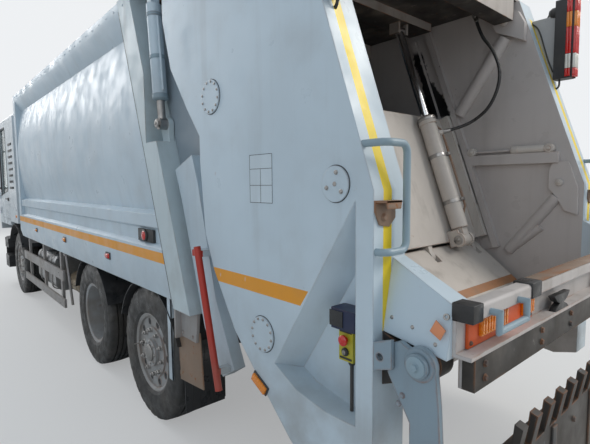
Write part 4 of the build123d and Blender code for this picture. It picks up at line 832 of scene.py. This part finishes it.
def sticker(side):
    # blank notice: a white sheet with ruled boxes and nothing in them
    x0, x1, z0, z1 = 0.578, 0.752, 1.704, 1.93
    sheet, line = HALF_WIDTH + 0.0012, 0.0022
    ink = sheet + 0.0004
    Piece(side).box(x0, x1, HALF_WIDTH, sheet, z0, z1).done("blank_sticker", "tailgate", "sticker")
    lines = Piece(side)
    rows = [z0, z0 + (z1 - z0) * 0.36, z0 + (z1 - z0) * 0.7, z1 - line]
    for z in rows:
        lines.box(x0, x1, sheet, ink, z, z + line)
    for x, top in ((x0, z1), ((x0 + x1) / 2, rows[2]), (x1 - line, z1)):
        lines.box(x, x + line, sheet, ink, z0, top)
    lines.done("sticker_lines", "tailgate", "plastic")


def latch_bracket(side):
    # rusted latch bracket on the post's rear face
    lip = -0.05
    back = [(1.131, 1.73), (1.25, 1.73), (1.25, 1.69), (1.222, 1.64), (1.168, 1.632), (1.131, 1.665)]
    shelf = [(0, 1.131), (0, 1.25), (lip, 1.24), (lip, 1.15)]
    hook = [(1.15, 1.73), (1.24, 1.73), (1.235, 1.7), (1.156, 1.7)]
    bracket = Piece(side).plate([(0, y, z) for y, z in back], (-0.007, 0, 0))
    bracket.plate([(x, y, 1.722) for x, y in shelf], (0, 0, 0.008))
    bracket.plate([(lip, y, z) for y, z in hook], (0.005, 0, 0))
    bracket.bolt((-0.007, 1.2, 1.668), REAR, 0.012)
    bracket.done("latch_bracket", "tailgate", "rusty", 0.001)


def cheek_signs(side):
    # reflector and fixings on the flared cheek below the post
    corners = [(-0.199, 1.195, 1.295), (-0.217, 1.187, 1.335), (-0.255, 1.192, 1.309), (-0.24, 1.199, 1.274)]
    sign = Piece(side).plate(corners, 0.005 * CHEEK_OUT)
    sign.done("cheek_reflector", "tailgate", "reflector", 0.0005)
    fixings = Piece(side).ring((-0.25, 1.183, 1.352), CHEEK_OUT, -0.004, 0.002, 0.006, 0.011, 24)
    for x, z in ((-0.03, 1.30), (-0.12, 1.285), (-0.215, 1.25)):
        fixings.bolt((x, CHEEK_Y + CHEEK_SLOPE * (CHEEK_TOP - z) - 0.001, z), CHEEK_OUT, 0.006)
    fixings.done("cheek_fixings", "tailgate", "steel")


def skin_lamp(side):
    # slanted marker on the tailgate's side, on a base that is larger all round
    low, high = Vector((0.642, HALF_WIDTH, 0.797)), Vector((0.741, HALF_WIDTH, 0.846))
    along = (high - low).normalized()
    up = Vector((-along.z, 0, along.x)) * 0.02
    for name, material, grow, depth in (("base", "plastic", 1.35, 0.008), ("lens", "amber_lens", 1.0, 0.02)):
        near, far = low - along * 0.024 * (grow - 1), high + along * 0.024 * (grow - 1)
        corners = [near - up * grow, far - up * grow, far + up * grow, near + up * grow]
        Piece(side).plate(corners, (0, depth, 0)).done(f"skin_lamp_{name}", "tailgate", material, 0.004)


def rear_lamp(side):
    # one tall lamp: each lens has three upright ribs to the rear and two to the inner side
    width = (LAMP_OUT - LAMP_IN - 0.012) / 3
    bow = [(math.cos(math.pi * k / 8), math.sin(math.pi * k / 8) ** 0.7) for k in range(9)]
    outlines = []
    for rib in range(3):
        middle = LAMP_IN + 0.006 + width * (rib + 0.5)
        outlines.append([(LAMP_X - 0.03 * out, middle - width / 2 * along) for along, out in bow])
    for rib in range(2):
        outlines.append([(LAMP_X + 0.018 * (rib + 0.5 - along / 2), LAMP_IN - 0.007 * out)
                         for along, out in bow])
    lamps = {}
    for kind, z0, z1 in LENSES:
        lamp = lamps.setdefault(kind, Piece(side))
        for outline in outlines:
            lamp.plate([(x, y, z0 + 0.001) for x, y in outline], (0, 0, z1 - z0 - 0.002))
    for kind, lamp in lamps.items():
        lamp.done(f"rear_lens_{kind}", "tailgate", f"{kind}_lens", 0.001)
    trim = Piece(side)
    for y in (LAMP_IN + 0.002, LAMP_OUT - 0.006):
        trim.box(LAMP_X - 0.012, LAMP_X, y, y + 0.004, 2.542, 3.098)
    for lead, radius in LEADS:
        trim.tube(rounded(lead), radius)
    for z in (2.66, 2.72, 2.9, 2.96):
        trim.bolt((0.27, 1.192, z), OUT, 0.006)
    trim.done("rear_lamp_trim", "tailgate", "plastic", 0.001)


def pivot_pins(side):
    # pin heads and grease nipples at the pivots of the bin lift and of the lift cylinder
    pins = Piece(side)
    for x, y, z, size in ((-0.18, 1.25, 1.178, 0.03), (1.93, 1.228, 3.05, 0.022)):
        pins.stud((x, y, z), OUT, size * 1.2, 0.004, size * 1.05, 0.006, 32)
        pins.bolt((x, y + 0.005, z), OUT, size * 0.45)
    pins.done("tailgate_pins", "tailgate", "handle", 0.0008)


def sill_trim(side):
    web, panel, lens_x = SILL_WEB, SILL_WEB - 0.012, SILL_WEB - 0.024
    lenses, rubber, bolts = (Piece(side) for _ in range(3))
    sheet = Piece(side).box(panel, web, 0.57, 1.107, SILL_LEDGE_TOP + 0.003, SILL_BAR_LOW - 0.002)
    sheet.done("sill_panel", "tailgate", "orange", 0.003)
    for y0, y1 in ((0.585, 0.685), (0.83, 1.035)):
        lenses.box(lens_x, panel, y0, y1, 1.262, 1.33)
        ribs = int((y1 - y0) / 0.02)
        for k in range(ribs):
            y = y0 + (k + 0.5) * (y1 - y0) / ribs
            lenses.box(lens_x - 0.003, lens_x, y - 0.006, y + 0.006, 1.268, 1.324)
    lenses.done("sill_reflectors", "tailgate", "amber_lens", 0.002)
    for y0, y1 in ((1.1, SILL_HALF + 0.004), (0.608, 0.7)):
        rubber.box(SILL_REAR - 0.006, SILL_FRONT + 0.003, y0, y1, SILL_BAR_LOW - 0.006, SILL_TOP + 0.006)
    rubber.plate([(SILL_REAR + 0.002, y, z) for y, z in WAIST], (0.03, 0, 0))
    rubber.done("sill_rubber", "tailgate", "rubber", 0.004)
    for y, z in product((0.2, 0.55, 1.05), (1.13, 1.18)):
        bolts.bolt((SILL_REAR + 0.01, y, z), REAR, 0.011)
    for y in (0.596, 1.09):
        bolts.bolt((panel, y, 1.25), REAR, 0.007)
    bolts.done("sill_bolts", "tailgate", "chassis")


def wear_strip():
    wear = Piece().box(SILL_REAR - 0.002, SILL_FRONT + 0.001, -0.6, 0.6, SILL_TOP - 0.001, SILL_TOP + 0.0025)
    wear.done("sill_wear_strip", "tailgate", "rusty", 0.001)


def control_panel(side):
    # frame, stop button and key switch on the control box
    trim = Piece(side)
    for z in (1.083, 1.193):
        trim.box(0.146, 0.209, PANEL_Y, PANEL_Y + 0.003, z, z + 0.008)
    trim.stud((PANEL_X, PANEL_Y, KEY_Z), OUT, 0.017, 0.008, 0.013, 0.011, 28)
    trim.box(0.18, 0.252, 1.215, 1.219, 1.215, 1.28)
    trim.stud((0.176, 1.165, 1.078), (0, 0, -1), 0.015, 0.02, 0.01, 0.03, 20)
    trim.done("control_frame", "tailgate", "plastic", 0.001)
    button = Piece(side).lathe((PANEL_X, PANEL_Y, 1.165), OUT, BUTTON, 32)
    button.done("stop_button", "tailgate", "red_lens")
    key = Piece(side).stud((PANEL_X, PANEL_Y + 0.011, KEY_Z), OUT, 0.009, 0.003, 0.007, 0.004, 24)
    key.box(0.1765, 0.1795, PANEL_Y + 0.014, PANEL_Y + 0.02, KEY_Z - 0.008, KEY_Z + 0.008)
    key.done("key_switch", "tailgate", "steel")


# Packer and cylinders

PACKER_GLAND = [(0, 0.0695), (0.004, 0.0715), (0.024, 0.0715), (0.028, 0.067), (0.034, 0.058),
                (0.044, 0.045)]
LIFT_GLAND = [(0, 0.0485), (0.002, 0.0525), (0.033, 0.0525), (0.037, 0.046), (0.043, 0.034)]
WALL_RAM = [(0, 0.022), (0.004, 0.028), (0.2, 0.028), (0.204, 0.032), (0.252, 0.032), (0.256, 0.024),
            (0.266, 0.014)]
LIFT_TOP, LIFT_LOW = Vector((1.93, 1.182, 3.05)), Vector((1.85, 1.182, 2.2))
RAM_Z, ARM_Y, COMB_X = 2.032, 1.229, -0.42
BLADE_TILT, BLADE_FOLD = math.radians(35), (0.62, 0.02)


def on_cylinder(u, y, s):
    # place beside the axis of the left packer cylinder
    return on_packer(CYLINDER_U + u, CYLINDER_Y + y, s)


def packer_trim(side):
    gland, clips, foot = (Piece(side) for _ in range(3))
    gland.lathe(on_cylinder(0, 0, 1.03), PACKER_UP, PACKER_GLAND, 40)
    for u, y in circle(0.0535, 8):
        gland.bolt(on_cylinder(u, y, 1.06), PACKER_UP, 0.0075)
    for s in (0.35, 0.72):
        gland.ring(on_cylinder(0, 0, s), PACKER_UP, 0, 0.03, 0.0625, 0.0655, 40)
    gland.done("cylinder_gland", "carriage", "steel", 0.0006)
    pipe = rounded([on_cylinder(-0.03, 0.062, 0.985), on_cylinder(-0.055, 0.078, 0.94),
                    on_cylinder(-0.055, 0.078, 0.32), on_cylinder(-0.03, 0.05, 0.25)], 0.12)
    Piece(side).tube(pipe, 0.008).done("cylinder_pipe", "carriage", "rusty")
    for s in (0.36, 0.73):
        corners = ((-0.066, 0.055), (-0.03, 0.055), (-0.03, 0.09), (-0.066, 0.09))
        clips.plate([on_cylinder(u, y, s) for u, y in corners], 0.024 * PACKER_UP)
    clips.done("pipe_clips", "carriage", "steel", 0.001)
    for edge in (-1, 1):
        foot.stud(on_cylinder(0, edge * 0.072, 0.07), (0, edge, 0), 0.034, 0.004, 0.03, 0.006, 32)
        foot.bolt(on_cylinder(0, edge * 0.077, 0.07), (0, edge, 0), 0.011)
    foot.done("cylinder_foot_pins", "carriage", "steel", 0.0006)
    lift_trim(side)
    wall_ram(side)


def blade_weld():
    reach, rise = BLADE_FOLD
    cos, sin = math.cos(BLADE_TILT), math.sin(BLADE_TILT)
    fold = PACKER_AT + Vector((-reach * cos - rise * sin, 0, rise * cos - reach * sin))
    ends = [fold + Vector((0, y, 0)) for y in (-0.99, 0.99)]
    Piece().rod(*ends, 0.006, 10).done("blade_weld", "blade", "rusty")


def wall_ram(side):
    # small locking cylinder on the hopper's wall, with the pins of the plates above and below it
    ram = Piece(side).lathe((0.235, 1.032, RAM_Z), AHEAD, WALL_RAM, 32)
    for x in (0.221, 0.804):
        ram.stud((x, 1.056, RAM_Z), INWARD, 0.033, 0.048, 0.029, 0.052, 28)
        ram.stud((x, 1.004, RAM_Z), INWARD, 0.014, 0.012, 0.011, 0.014, 20)
    ram.box(0.77, 0.84, 1.02, 1.058, RAM_Z - 0.045, RAM_Z - 0.03)
    ram.done("wall_ram", "tailgate", "packer", 0.001)
    pins = Piece(side)
    for x, y, z in ((0.57, 0.994, 2.997), (0.147, 1.014, 1.786)):
        pins.stud((x, y, z), INWARD, 0.024, 0.004, 0.02, 0.006, 28)
        pins.bolt((x, y - 0.005, z), INWARD, 0.009)
    pins.done("wall_pins", "tailgate", "packer", 0.0006)


def lift_trim(side):
    # gland of the tailgate's lift cylinder and the cap over its lower eye
    way = (LIFT_LOW - LIFT_TOP).normalized()
    gland = Piece(side).lathe(LIFT_TOP + 0.655 * way, way, LIFT_GLAND, 36)
    for s in (0.12, 0.4):
        gland.ring(LIFT_TOP + s * way, way, 0, 0.025, 0.0485, 0.051, 36)
    gland.done("lift_gland", "lift_barrels", "handle", 0.0006)
    cap = Piece(side).stud(LIFT_LOW + Vector((0, 0.04, 0)), OUT, 0.03, 0.004, 0.02, 0.007, 28)
    cap.bolt(LIFT_LOW + Vector((0, 0.045, 0)), OUT, 0.009)
    cap.done("lift_eye_cap", "lift_rods", "steel", 0.0006)


def lift_arm_bolts(side):
    bolts = Piece(side)
    for x, z in ((-0.115, 1.05), (-0.1, 1.015), (-0.16, 0.75), (-0.3, 0.62)):
        bolts.bolt((x, ARM_Y, z), OUT, 0.009)
    bolts.ring((-0.18, ARM_Y, 1.178), OUT, 0, 0.003, 0.036, 0.058, 40)
    bolts.done("lift_arm_bolts", "bin_lift", "lift", 0.0006)


def comb_fixings():
    face = Piece()
    for y, z in product((-0.9, -0.45, 0, 0.45, 0.9), (0.6, 0.8)):
        face.bolt((COMB_X, y, z), REAR, 0.011)
    for y in (-0.68, -0.23, 0.23, 0.68):
        face.box(COMB_X - 0.008, COMB_X, y - 0.02, y + 0.02, 0.56, 0.86)
    face.done("comb_fixings", "bin_lift", "chassis", 0.001)


# Chassis

BRAKE = [(0, 0.03), (0.01, 0.062), (0.05, 0.075), (0.075, 0.078), (0.078, 0.086), (0.09, 0.086),
         (0.093, 0.078), (0.12, 0.075), (0.17, 0.05), (0.175, 0.02)]
FUEL_CAP = [(0, 0.055), (0.02, 0.055), (0.024, 0.048), (0.03, 0.048), (0.034, 0.04)]
TANK_END = [(0, 0.118), (0.02, 0.1), (0.033, 0.06), (0.038, 0.012)]
SPRING_Y, SPRING_TOP, LOOP_HALF = RAIL_Y - 0.04, 0.665, 0.045
BATTERY_TOP = 0.89


def rail_trim(side):
    # bolts of the crossmembers, and three air pipes clipped to the rail
    bolts, lines = Piece(side), Piece(side)
    for x, shift, low in product((1.39, 1.59, 2.905, 4.3, 5.3, 6.4, 8.5), (-0.028, 0.028), (0.09, 0.19)):
        bolts.bolt((x + shift, RAIL_Y, RAIL_TOP - low), OUT, 0.012)
    bolts.done("rail_bolts", "chassis", "steel")
    for k, z in enumerate((0.945, 0.915, 0.89)):
        bends = ((1.45 + 0.1 * k, 0), (3.0, -0.004), (4.6, 0.003), (6.2, -0.003), (7.0 - 0.1 * k, 0))
        lines.tube([(x, RAIL_Y + 0.014, z + lift) for x, lift in bends], 0.008 - 0.001 * k, 10)
    for x in (1.8, 2.55, 3.2, 4.0, 4.6, 5.1, 5.8, 6.6):
        lines.box(x - 0.01, x + 0.01, RAIL_Y, RAIL_Y + 0.026, 0.875, 0.958)
    lines.done("air_lines", "chassis", "plastic")


def spring_clamps(side, name, x, low):
    # two loops over the leaf spring, bent towards the truck's left, with the plates above and below it
    clamps = Piece(side)
    near, far = SPRING_Y - side * LOOP_HALF, SPRING_Y + side * LOOP_HALF
    loop = ((near, low), (near, SPRING_TOP), (far, SPRING_TOP), (far, low))
    for shift in (-0.062, 0.062):
        clamps.tube(rounded([(x + shift, y, z) for y, z in loop], 0.2), 0.009)
        for y in (near, far):
            clamps.bolt((x + shift, y, low + 0.012), (0, 0, -1), 0.014)
    clamps.box(x - 0.09, x + 0.09, SPRING_Y - 0.06, SPRING_Y + 0.06, low + 0.012, low + 0.028)
    clamps.box(x - 0.075, x + 0.075, SPRING_Y - 0.035, SPRING_Y + 0.035, 0.644, 0.664)
    clamps.done(f"{name}_spring_clamps", "chassis", "chassis", 0.001)


def chassis_trim(side):
    rail_trim(side)
    spring_clamps(side, "front", FRONT_AXLE, 0.42)
    for name, x, low in (("drive", DRIVE_AXLE, 0.43), ("tag", TAG_AXLE, 0.44)):
        spring_clamps(side, name, x, low)
        brake = Piece(side).lathe((x - 0.3, 0.5, 0.56), (1, 0, 0.05), BRAKE, 32)
        brake.rod((x - 0.14, 0.5, 0.568), (x - 0.03, 0.5, 0.572), 0.011)
        brake.done(f"{name}_brake_chamber", "chassis", "chassis", 0.001)


def tank_trim():
    cap, straps, bands, lid = (Piece() for _ in range(4))
    cap.lathe((5.55, 0.9, 0.895), Z, FUEL_CAP, 32).done("fuel_cap", "chassis", "plastic")
    hoop = ((0.55, 0.905), (FUEL_TANK_Y + 0.005, 0.905), (FUEL_TANK_Y + 0.005, 0.425), (0.55, 0.425))
    for x in (5.43, 6.07):
        straps.tube(rounded([(x, y, z) for y, z in hoop], 0.18, 6), 0.008)
        straps.box(x - 0.02, x + 0.02, FUEL_TANK_Y - 0.002, FUEL_TANK_Y + 0.003, 0.55, 0.79)
    straps.done("tank_straps", "chassis", "steel")
    for y in (0.62, 0.9):
        for x in (4.8, 5.05):
            bands.ring((x, y, AIR_TANK_Z), AHEAD, 0, 0.03, 0.1255, 0.129, 40)
        bands.lathe((4.695, y, AIR_TANK_Z), REAR, TANK_END, 40)
    bands.done("air_tank_bands", "chassis", "tank")
    lid.box(4.69, 5.41, -1.14, -0.5, 0.875, BATTERY_TOP)
    for x in (4.85, 5.25):
        lid.box(x - 0.02, x + 0.02, -1.138, -1.131, 0.76, BATTERY_TOP)
    lid.done("battery_lid", "chassis", "plastic", 0.003)


# Cab

GLASS_X = CAB_FRONT - 0.027
SKIN_X = CAB_FRONT - 0.001
WINDOW = [(7.87, 1.72), (8.61, 1.62), (8.605, 1.78), (8.51, 2.784), (7.87, 2.784)]
# Lamps in the bumper: name, y from and to, z from and to, material
FACE_LAMPS = (("head", 0.93, 1.13, 0.62, 0.79, "white_lens"),
              ("fog", 0.95, 1.08, 0.42, 0.52, "white_lens"),
              ("turn", 0.93, 1.13, 0.8, 0.835, "amber_lens"))
SEAT_Y, SEAT_BACK_X = 0.68, 7.45
# Seat pads: length, half width and height, and the way that the crowned face looks
PADS = (("cushion", (7.45, 7.95), 0.238, (1.5, 1.62), Z),
        ("back", (7.402, 7.52), 0.228, (1.625, 2.05), X),
        ("head_rest", (7.41, 7.5), 0.13, (2.07, 2.248), X))
PAD_CUTS, PAD_EDGE = 12, 0.045


def cab_front():
    lean = Vector((-CAB_LEAN, 0, 1)).normalized()
    grille, seams, wipers = (Piece() for _ in range(3))
    for k in range(7):
        z = 1.1 + 0.062 * k
        near = [(SKIN_X, -0.82, z), (SKIN_X, 0.82, z), (SKIN_X, 0.82, z + 0.04), (SKIN_X, -0.82, z + 0.04)]
        far = [(CAB_FRONT + 0.009, -0.81, z + 0.004), (CAB_FRONT + 0.009, 0.81, z + 0.004),
               (CAB_FRONT + 0.005, 0.81, z + 0.034), (CAB_FRONT + 0.005, -0.81, z + 0.034)]
        grille.shell(near, far)
    grille.box(SKIN_X, CAB_FRONT + 0.003, -0.86, 0.86, 1.07, 1.55)
    grille.done("grille", "cab", "plastic", 0.002)
    for z in (1.598, 1.03):
        seams.box(SKIN_X, CAB_FRONT + 0.0015, -1.2, 1.2, z, z + 0.006)
    seams.done("front_panel_seams", "cab", "plastic")
    for y in (-0.34, 0.62):
        foot = Vector((CAB_FRONT, y, 1.745))
        tip = Vector((GLASS_X + 0.015, y - 0.42, CAB_BELT)) + 0.28 * lean
        wipers.stud(foot - Vector((0.02, 0, 0)), AHEAD, 0.02, 0.018, 0.014, 0.022, 20)
        wipers.tube(rounded([foot, foot + Vector((-0.004, -0.06, 0.07)), tip]), 0.007)
        blade = [Vector((GLASS_X + 0.012, tip.y + reach * 0.96, tip.z)) + reach * 0.25 * lean
                 for reach in (-0.33, -0.1, 0.1, 0.33)]
        wipers.tube(blade, 0.008)
    wipers.done("wipers", "cab", "rubber")
    foot_x, head_x, half, foot_z, head_z = GLASS_X + 0.002, GLASS_X - 0.117, 1.14, 1.79, 2.715
    seal = rounded([(foot_x, -half, foot_z), (foot_x, half, foot_z), (head_x, half, head_z),
                    (head_x, -half, head_z), (foot_x, -half, foot_z), (foot_x, 0, foot_z)], 0.05)
    Piece().tube(seal, 0.011, 10).done("windscreen_seal", "cab", "rubber")


def cab_side(side):
    door_trim(side)
    face_lamps(side)
    seat(side)
    lamp = Piece(side).box(7.17, 7.25, CAB_HALF, CAB_HALF + 0.012, 1.29, 1.33)
    lamp.done("cab_marker", "cab", "amber_lens", 0.003)
    vents = Piece(side)
    for k in range(8):
        z = 1.75 + 0.1 * k
        vents.box(7.3, 7.62, CAB_HALF, CAB_HALF + 0.007, z, z + 0.035)
    vents.done("cab_side_vents", "cab", "plastic", 0.002)


def door_trim(side):
    body = "door" + SUFFIX[side]
    glass = Piece(side).plate([(x, CAB_HALF - 0.03, z) for x, z in WINDOW], (0, 0.005, 0))
    glass.done("door_glass", body, "glass")
    ring = rounded([(x, CAB_HALF - 0.004, z) for x, z in (*WINDOW, *WINDOW[:2])], 0.07)
    Piece(side).tube(ring, 0.009, 10).done("door_window_seal", body, "rubber")
    near, far = CAB_HALF + 0.003, CAB_HALF + 0.035
    handle = Piece(side).box(7.83, 7.97, CAB_HALF, CAB_HALF + 0.004, 1.54, 1.6)
    grip = [(7.845, near, 1.575), (7.85, far, 1.58), (7.95, far, 1.58), (7.955, near, 1.575)]
    handle.tube(rounded(grip), 0.009)
    handle.stud((7.9, CAB_HALF, 1.555), OUT, 0.012, 0.007, 0.009, 0.008, 20)
    handle.done("door_handle", body, "plastic", 0.001)
    lines, mirror = Piece(side), Piece(side)
    for z in (1.3, 1.48):
        lines.box(7.8, 8.68, CAB_HALF, CAB_HALF + 0.004, z, z + 0.012)
    lines.done("door_swage", body, "cab", 0.002)
    for low, high in ((1.88, 2.14), (2.16, 2.32)):
        mirror.box(8.497, 8.5, 1.305, 1.425, low, high)
    mirror.done("mirror_glass", body, "mirror", 0.001)


def face_lamps(side):
    # lamps let into the bumper's slanted corners
    def corner(y, z, proud):
        return Vector((8.874 - 0.08 * (y - 0.9) / 0.27, y, z)) + proud * Vector((0.96, 0.28, 0))
    for name, y0, y1, z0, z1, material in FACE_LAMPS:
        near, far = ([corner(y0 + inset, z0 + inset, proud), corner(y1 - inset, z0 + inset, proud),
                      corner(y1 - inset, z1 - inset, proud), corner(y0 + inset, z1 - inset, proud)]
                     for inset, proud in ((0, 0), (0.01, 0.004)))
        Piece(side).shell(near, far).done(f"{name}_lamp", "chassis", material, 0.003)
    slots = Piece(side)
    for k in range(4):
        z = 0.42 + 0.05 * k
        slots.box(8.876, 8.8795, 0.12, 0.82, z, z + 0.022)
    slots.done("bumper_slots", "chassis", "chassis", 0.002)


def seat(side):
    # driver's and mate's seats: cushion, back and head rest, on a bellows
    for name, (x0, x1), half, (z0, z1), crown in PADS:
        low, high = Vector((x0, SEAT_Y - half, z0)), Vector((x1, SEAT_Y + half, z1))
        pad = cushion(side, low, high, Vector(crown)).done(f"seat_{name}", "cab", "fabric")
        if name == "cushion" and side == 1:
            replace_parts(pad, "cab_seats")
    stand = Piece(side)
    for k in range(6):
        rise = 0.036 * k
        stand.box(7.53, 7.89, SEAT_Y - 0.17, SEAT_Y + 0.17, 1.245 + rise, 1.272 + rise)
        stand.box(7.545, 7.875, SEAT_Y - 0.155, SEAT_Y + 0.155, 1.27 + rise, 1.283 + rise)
    stand.box(7.5, 7.92, SEAT_Y - 0.2, SEAT_Y + 0.2, 1.46, 1.503)
    stand.box(7.43, 7.46, SEAT_Y - 0.2, SEAT_Y + 0.2, 1.49, 1.66)
    for y in (SEAT_Y - 0.06, SEAT_Y + 0.06):
        stand.rod((SEAT_BACK_X, y, 2.0), (SEAT_BACK_X, y, 2.12), 0.008)
    stand.done("seat_stand", "cab", "plastic", 0.003)


def cushion(side, low, high, crown):
    # box with rounded corners, crowned on one face, with sewn channels along it
    half, middle = (high - low) / 2, (high + low) / 2
    inner = Vector(max(h - PAD_EDGE, 0.004) for h in half)
    reach = min(PAD_EDGE, *half)
    shape = bmesh.new()
    bmesh.ops.create_cube(shape, size=2.0)
    bmesh.ops.subdivide_edges(shape, edges=shape.edges, cuts=PAD_CUTS, use_grid_fill=True)
    pad = Piece(side)
    points = []
    for vert in shape.verts:
        place = Vector(v * h for v, h in zip(vert.co, half))
        core = Vector(max(-i, min(i, p)) for p, i in zip(place, inner))
        out = place - core
        if out.length:
            place = core + out.normalized() * reach
        u, v = vert.co.y, vert.co.x if crown.z else vert.co.z
        swell = max(0.0, (1 - u * u) * (1 - v ** 4))
        channel = 0.006 * math.exp(-((abs(u) - 0.52) / 0.05) ** 2) * max(0.0, 1 - v ** 6)
        toward = max(0.0, vert.co.dot(crown))
        points.append(pad.place(middle + place + crown * toward * (0.012 * (swell - 1) - channel)))
    faces = [tuple(v.index for v in face.verts) for face in shape.faces]
    shape.free()
    return pad.add(points, faces)


SMOOTH = smooth_group()
MATERIALS = make_materials()
camera()
lights()
pale_world()
floor()
dress_nodes()
for detail in (packer_hose, wheels, mud_flap, body_trim, tailgate_trim, sill_trim, control_panel,
               packer_trim, lift_arm_bolts, chassis_trim, cab_side):
    for side in SIDES:
        detail(side)
for detail in (roof_end, work_lamp, wear_strip, blade_weld, comb_fixings, tank_trim, cab_front):
    detail()
bpy.context.scene.view_settings.view_transform = "Standard"
